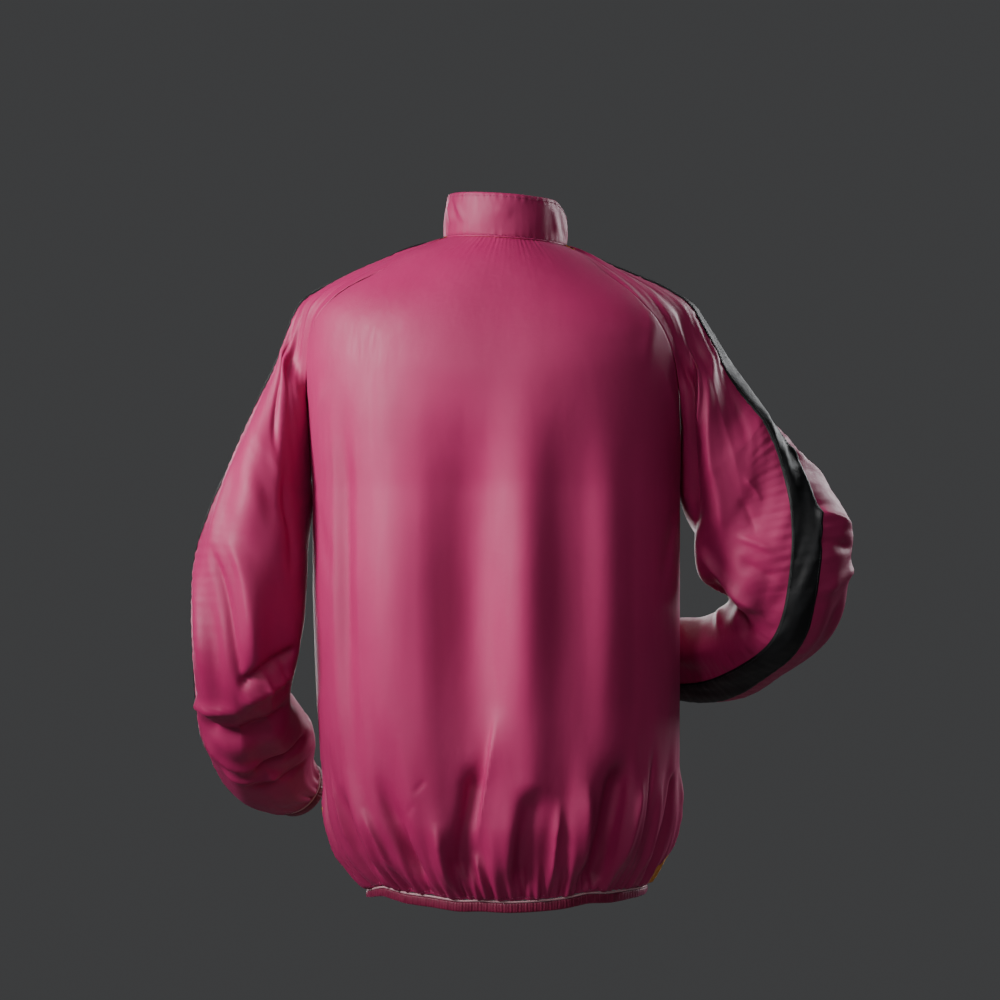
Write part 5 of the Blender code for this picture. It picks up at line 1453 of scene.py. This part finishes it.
def make_slider(material):
    outline = oval(PLATE_HALF, PLATE_LENGTH / 2, 0.0, 32, 0.55)
    outline[:, 0] *= 1 - 0.16 * (outline[:, 1] / (PLATE_LENGTH / 2))
    plate = plate_object("slider_plate", outline, None, CLEAR, CLEAR + PLATE_WALL, 0.0004, material)
    run = np.linspace(-1, 1, 25)
    down = run * ARCH_REACH
    foot = CLEAR + PLATE_WALL * 0.8
    out = foot + (ARCH_TOP - 0.0006 - foot) * (1 - np.abs(run) ** 3.2)
    path = placed(np.stack([0 * run, down, out], -1))
    side = slider_frame()[1]
    tangent = unit(np.gradient(path, axis=0))
    normal = unit(np.cross(tangent, side))
    turns = np.linspace(0, 2 * np.pi, 12, endpoint=False)
    wide = 0.0011 * (1 + 0.25 * np.abs(run) ** 2)
    sections = (
        path[:, None]
        + side * (np.sign(np.cos(turns)) * np.abs(np.cos(turns)) ** 0.7)[None, :, None] * wide[:, None, None]
        + normal[:, None] * np.sin(turns)[None, :, None] * 0.0006
    )
    arch = swept("slider_arch", sections, material, False)
    ride(plate, "zip_slider")
    ride(arch, "zip_slider")


def make_pull(material):
    """A flat tab that narrows and widens again, with its eye round the arch."""
    reach = np.array([-0.0007, 0.0020, 0.0058, 0.0090, 0.0140, 0.0190, 0.0235, PULL_LENGTH])
    half = np.array([PULL_HALF, PULL_HALF, PULL_HALF, 0.0022, 0.0034, 0.0034, 0.0034, 0.0022])
    fine = np.linspace(reach[0], reach[-1], 26)
    wide = smooth(reach, half, fine)
    outline = [(-w, y) for w, y in zip(wide, fine)] + [(w, y) for w, y in zip(wide[::-1], fine[::-1])]
    eye = oval(0.0015, 0.0023, 0.0030, 20, 0.7)[::-1]
    low, high = PIVOT_OUT - PULL_WALL / 2, PIVOT_OUT + PULL_WALL / 2
    pull = plate_object("pull_tab", outline, eye, low, high, 0.0003, material)
    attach(pull, "pull")
    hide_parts("zip_pull")


# ---- Materials -----------------------------------------------------------------------------------
def colour(red, green, blue):
    """A linear colour from values of 0 to 255."""
    parts = [value / 255 for value in (red, green, blue)]
    parts = [value / 12.92 if value <= 0.04045 else ((value + 0.055) / 1.055) ** 2.4 for value in parts]
    return (*parts, 1.0)


class Finish:
    """A material under construction: one Principled shader with nodes for colour, roughness and bump."""

    def __init__(
        self, name, roughness=0.5, metallic=0.0, sheen=0.0, sheen_roughness=0.4, sheen_tint=None, specular=0.5
    ):
        self.material = bpy.data.materials.new(name)
        self.material.use_nodes = True
        self.tree = self.material.node_tree
        self.shader = self.tree.nodes["Principled BSDF"]
        self.shader.inputs["Roughness"].default_value = roughness
        self.shader.inputs["Metallic"].default_value = metallic
        self.shader.inputs["Sheen Weight"].default_value = sheen
        self.shader.inputs["Sheen Roughness"].default_value = sheen_roughness
        self.shader.inputs["Specular IOR Level"].default_value = specular
        if sheen_tint:
            self.shader.inputs["Sheen Tint"].default_value = sheen_tint
        self.heights = []

    def node(self, kind, **settings):
        node = self.tree.nodes.new(kind)
        for key, value in settings.items():
            if key in node.inputs:
                node.inputs[key].default_value = value
            else:
                setattr(node, key, value)
        return node

    def link(self, start, end):
        self.tree.links.new(start, end)

    def place(self, source="UV", scale=(1, 1, 1), angle=0.0):
        where = self.node("ShaderNodeTexCoord")
        shift = self.node("ShaderNodeMapping")
        shift.inputs["Scale"].default_value = scale
        shift.inputs["Rotation"].default_value = (0, 0, angle)
        self.link(where.outputs[source], shift.inputs["Vector"])
        return shift.outputs["Vector"]

    def noise(self, scale, detail=2.0, source="Object", stretch=(1, 1, 1), roughness=0.5):
        node = self.node("ShaderNodeTexNoise")
        node.inputs["Scale"].default_value = scale
        node.inputs["Detail"].default_value = detail
        node.inputs["Roughness"].default_value = roughness
        self.link(self.place(source, stretch), node.inputs["Vector"])
        return node.outputs["Fac"]

    def wave(self, pitch, angle=0.0, source="UV", profile="SIN", distortion=0.0):
        node = self.node("ShaderNodeTexWave")
        node.wave_type = "BANDS"
        node.bands_direction = "X"
        node.wave_profile = profile
        node.inputs["Scale"].default_value = 1 / pitch / 3.18
        node.inputs["Distortion"].default_value = distortion
        node.inputs["Detail"].default_value = 1.0
        self.link(self.place(source, (1, 1, 1), angle), node.inputs["Vector"])
        return node.outputs["Fac"]

    def mapped(self, value, low, high, start=0.0, end=1.0):
        node = self.node("ShaderNodeMapRange")
        node.inputs["From Min"].default_value = start
        node.inputs["From Max"].default_value = end
        node.inputs["To Min"].default_value = low
        node.inputs["To Max"].default_value = high
        self.link(value, node.inputs["Value"])
        return node.outputs["Result"]

    def colours(self, value, *stops):
        node = self.node("ShaderNodeValToRGB")
        ramp = node.color_ramp
        ramp.elements[0].position, ramp.elements[0].color = stops[0]
        ramp.elements[1].position, ramp.elements[1].color = stops[-1]
        for position, shade in stops[1:-1]:
            ramp.elements.new(position).color = shade
        self.link(value, node.inputs["Fac"])
        return node.outputs["Color"]

    def math(self, operation, first, second):
        node = self.node("ShaderNodeMath", operation=operation)
        for socket, value in zip(node.inputs, (first, second)):
            if isinstance(value, (int, float)):
                socket.default_value = value
            else:
                self.link(value, socket)
        return node.outputs[0]

    def bump(self, *layers):
        """Layers of height, each with its depth in metres, joined in one chain of bumps."""
        previous = None
        for value, depth in layers:
            node = self.node("ShaderNodeBump")
            node.inputs["Strength"].default_value = 1.0
            node.inputs["Distance"].default_value = depth
            self.link(value, node.inputs["Height"])
            if previous:
                self.link(previous, node.inputs["Normal"])
            previous = node.outputs["Normal"]
        self.link(previous, self.shader.inputs["Normal"])

    def base(self, socket):
        self.link(socket, self.shader.inputs["Base Color"])

    def rough(self, socket):
        self.link(socket, self.shader.inputs["Roughness"])


WEAVE = 0.00055


def cloth_finish(name, dark, middle, light, sheen_tint, gloss=(0.47, 0.57), sheen=0.06):
    finish = Finish(name, 0.42, sheen=sheen, sheen_roughness=0.35, sheen_tint=sheen_tint, specular=0.4)
    finish.shader.inputs["Anisotropic"].default_value = 0.25
    patches = finish.noise(9.0, 3.0, stretch=(1.0, 1.0, 0.6))
    finish.base(finish.colours(patches, (0.30, dark), (0.52, middle), (0.74, light)))
    slubs = finish.noise(160.0, 2.0, stretch=(1.0, 1.0, 0.12))
    finish.rough(finish.mapped(slubs, *gloss, 0.3, 0.7))
    weft, warp = finish.wave(WEAVE, 0.0), finish.wave(WEAVE, math.radians(90))
    finish.bump(
        (finish.noise(26.0, 3.0, stretch=(1.0, 1.0, 0.5)), 0.0008),
        (finish.noise(170.0, 2.0), 0.00012),
        (finish.math("MULTIPLY", weft, warp), 0.00005),
    )
    return finish.material


def binding_finish(name):
    tint = colour(200, 120, 170)
    finish = Finish(name, 0.50, sheen=0.3, sheen_roughness=0.4, sheen_tint=tint, specular=0.45)
    fuzz = finish.noise(150.0, 3.0)
    finish.base(finish.colours(fuzz, (0.3, colour(104, 8, 48)), (0.7, colour(122, 14, 58))))
    finish.rough(finish.mapped(fuzz, 0.44, 0.60, 0.3, 0.7))
    finish.bump((finish.wave(0.0032, 0.0, distortion=2.0), 0.00025), (finish.wave(WEAVE, 0.0), 0.00005))
    return finish.material


def piping_finish(name):
    finish = Finish(name, 0.50, sheen=0.3, specular=0.45)
    # the twist wave sets the bump and roughness, and also the colour, as painted shade in the grooves between
    # the strands
    twist_and_groove_shade = finish.wave(0.0012, math.radians(38))
    # painted shade: the cord is darker in the grooves of its twist and lighter on the crests of the strands
    finish.base(finish.colours(twist_and_groove_shade, (0.2, colour(176, 120, 132)), (0.8, colour(214, 172, 178))))
    finish.rough(finish.mapped(twist_and_groove_shade, 0.42, 0.58))
    finish.bump((twist_and_groove_shade, 0.00012))
    return finish.material


def tape_finish(name):
    tint = colour(120, 130, 140)
    finish = Finish(name, 0.55, sheen=0.06, sheen_roughness=0.5, sheen_tint=tint, specular=0.3)
    twill = finish.wave(0.0011, math.radians(32))
    wear = finish.noise(40.0, 3.0)
    finish.base(finish.colours(wear, (0.3, colour(5, 6, 8)), (0.7, colour(12, 14, 17))))
    finish.rough(finish.mapped(wear, 0.48, 0.66, 0.3, 0.7))
    finish.bump((finish.noise(90.0, 2.0), 0.0005), (twill, 0.00012))
    return finish.material


def thread_finish(name, dark, light):
    finish = Finish(name, 0.5, sheen=0.2, specular=0.4)
    ply = finish.noise(900.0, 2.0)
    finish.base(finish.colours(ply, (0.3, dark), (0.7, light)))
    finish.rough(finish.mapped(ply, 0.42, 0.60, 0.3, 0.7))
    finish.bump((ply, 0.0001))
    return finish.material


def zip_tape_finish(name):
    finish = Finish(name, 0.65, sheen=0.2, specular=0.35)
    rib = finish.wave(0.0009, 0.0)
    dark, light = (0.3, colour(70, 14, 38)), (0.7, colour(94, 24, 54))
    finish.base(finish.colours(finish.noise(120.0, 2.0), dark, light))
    finish.rough(finish.mapped(rib, 0.58, 0.72))
    finish.bump((rib, 0.00012))
    return finish.material


def teeth_finish(name):
    finish = Finish(name, 0.34, specular=0.5)
    scuffs = finish.noise(420.0, 3.0)
    finish.base(finish.colours(scuffs, (0.35, colour(86, 20, 48)), (0.7, colour(108, 34, 64))))
    finish.rough(finish.mapped(scuffs, 0.28, 0.44, 0.3, 0.7))
    finish.bump((scuffs, 0.00004))
    return finish.material


def metal_finish(name):
    finish = Finish(name, 0.30, metallic=1.0)
    scuffs = finish.noise(500.0, 4.0, stretch=(1.0, 1.0, 0.25))
    finish.base(finish.colours(scuffs, (0.3, colour(148, 145, 142)), (0.7, colour(186, 184, 180))))
    finish.rough(finish.mapped(scuffs, 0.24, 0.42, 0.3, 0.7))
    finish.bump((scuffs, 0.00003))
    return finish.material


def floor_finish(name):
    finish = Finish(name, 0.85, specular=0.2)
    dark, light = (0.3, colour(205, 204, 202)), (0.7, colour(212, 211, 209))
    finish.base(finish.colours(finish.noise(2.0, 3.0), dark, light))
    finish.bump((finish.noise(60.0, 2.0), 0.0004))
    return finish.material


# ---- Making everything ---------------------------------------------------------------------------
FRONT_STITCH = 0.0045  # from the zip's edge of a front to its row of stitches
HEM_STITCH = 0.0035
SEAM_STITCH = 0.0025


def dress():
    """Makes every piece of the garment, in the order of its sewing."""
    plum = cloth_finish(
        "plum_satin", colour(149, 26, 80), colour(157, 31, 86), colour(165, 35, 91), colour(214, 120, 180)
    )
    browns = colour(186, 112, 38), colour(198, 124, 46), colour(208, 136, 56)
    mustard = cloth_finish("mustard_satin", *browns, colour(240, 210, 160), sheen=0.25)
    binding, piping = binding_finish("plum_knit"), piping_finish("pale_cord")
    tape = tape_finish("black_twill")
    plum_thread = thread_finish("plum_thread", colour(128, 34, 76), colour(160, 60, 104))
    black_thread = thread_finish("black_thread", colour(16, 18, 21), colour(36, 39, 43))
    zip_tape, teeth = zip_tape_finish("zip_weave"), teeth_finish("zip_plastic")
    metal = metal_finish("satin_nickel")

    back, back_grid, back_normals = make_body_panel(
        "cloth_back", "back", 0, 2, 236, 0.60, plum, mustard, "back", "lower_back"
    )
    runs = []
    for side in ("left", "right"):
        front, grid, normals = make_body_panel(
            "cloth_front_" + side, side, 0, 1.8, 110, 0.29, plum, mustard, "front_" + side
        )
        runs.append(grid_line(grid, normals, column=0 if side == "left" else -1, offset=FRONT_STITCH))
        hem, grid, normals = make_body_panel(
            "cloth_hem_" + side, side, 1.8, 2, 110, 0.29, mustard, plum, "front_hem_" + side
        )
        runs.append(grid_line(grid, normals, column=0 if side == "left" else -1, offset=FRONT_STITCH))
        runs.append(grid_line(grid, normals, row=-1, offset=HEM_STITCH))
        runs.append(grid_line(grid, normals, row=0, offset=SEAM_STITCH))
    runs.append(grid_line(back_grid, back_normals, row=-1, offset=HEM_STITCH))
    band_runs = []
    for side in ("left", "right"):
        sleeve, grid, normals, columns = make_sleeve(side, plum, mustard)
        make_tape(side, grid, normals, columns, tape)
        make_cuff_trims(side, (piping, binding))
        runs.append(grid_line(grid, normals, row=-1, offset=HEM_STITCH))
        for edge, sign in ((BAND_START, 1), (BAND_END, -1)):
            at = np.argmin(np.abs(columns - edge)) + sign
            inward = np.argmin(np.abs(columns - edge)) + 2 * sign
            line = (grid[:, at] + grid[:, inward]) / 2 + normals[:, at] * (CLEAR + 0.0011)
            band_runs.append((line, normals[:, at]))
    make_hem_trims((piping, binding))
    _, grid, normals = make_collar(plum, mustard)
    runs.append(grid_line(grid, normals, row=0, offset=0.004))
    runs.append(grid_line(grid, normals, row=-1, offset=SEAM_STITCH))
    make_stitches("stitches_plum", runs, plum_thread)
    make_stitches("stitches_tape", band_runs, black_thread)
    make_zip(zip_tape, teeth)
    make_slider(metal)
    make_pull(metal)


def area_light(name, place, target, size, power, tint=(1, 1, 1), spread=180):
    light = bpy.data.lights.new(name, "AREA")
    light.spread = math.radians(spread)
    light.shape = "RECTANGLE"
    light.size, light.size_y = size
    light.energy = power
    light.color = tint
    thing = bpy.data.objects.new(name, light)
    thing.location = place
    aim = Vector(target) - Vector(place)
    thing.rotation_euler = aim.to_track_quat("-Z", "Y").to_euler()
    bpy.context.scene.collection.objects.link(thing)


FLOOR_Z = -1.45
FLOOR_RADIUS = 2.2


def studio():
    middle = (0.0, 0.0, -0.33)
    warm = (1.0, 0.985, 0.98)
    area_light("key", (1.80, 0.96, 0.62), (0.06, 0.08, -0.24), (0.7, 0.7), 4.8, warm, spread=32)
    area_light("back_key", (0.75, 2.20, 0.95), (0.02, 0.15, -0.24), (0.6, 0.6), 0.34, warm, spread=18)
    area_light("fill", (-0.6, 2.8, 0.9), middle, (1.6, 1.6), 1.4, spread=50)
    area_light("rim", (-1.7, -1.5, 0.5), middle, (0.5, 1.4), 6, (0.97, 0.98, 1.0), spread=60)
    area_light("front", (0.5, -2.8, -0.1), middle, (1.6, 1.6), 9, spread=60)
    world = bpy.data.worlds.new("studio")
    bpy.context.scene.world = world
    world.use_nodes = True
    background = world.node_tree.nodes["Background"]
    background.inputs["Color"].default_value = (0.66, 0.67, 0.69, 1)
    background.inputs["Strength"].default_value = 0.08

    bm = bmesh.new()
    bmesh.ops.create_circle(bm, cap_ends=True, segments=96, radius=FLOOR_RADIUS)
    mesh = bpy.data.meshes.new("floor")
    bm.to_mesh(mesh)
    bm.free()
    mesh.materials.append(floor_finish("pale_floor"))
    floor = bpy.data.objects.new("floor", mesh)
    floor.location = (0, 0, FLOOR_Z)
    bpy.context.scene.collection.objects.link(floor)

    camera = bpy.data.cameras.new("camera")
    camera.lens, camera.sensor_width = 100, 36
    thing = bpy.data.objects.new("camera", camera)
    thing.location = (0.0054, 3.0, -0.278)
    thing.rotation_euler = (math.radians(90), 0, math.radians(180))
    bpy.context.scene.collection.objects.link(thing)
    bpy.context.scene.camera = thing


dress()
studio()
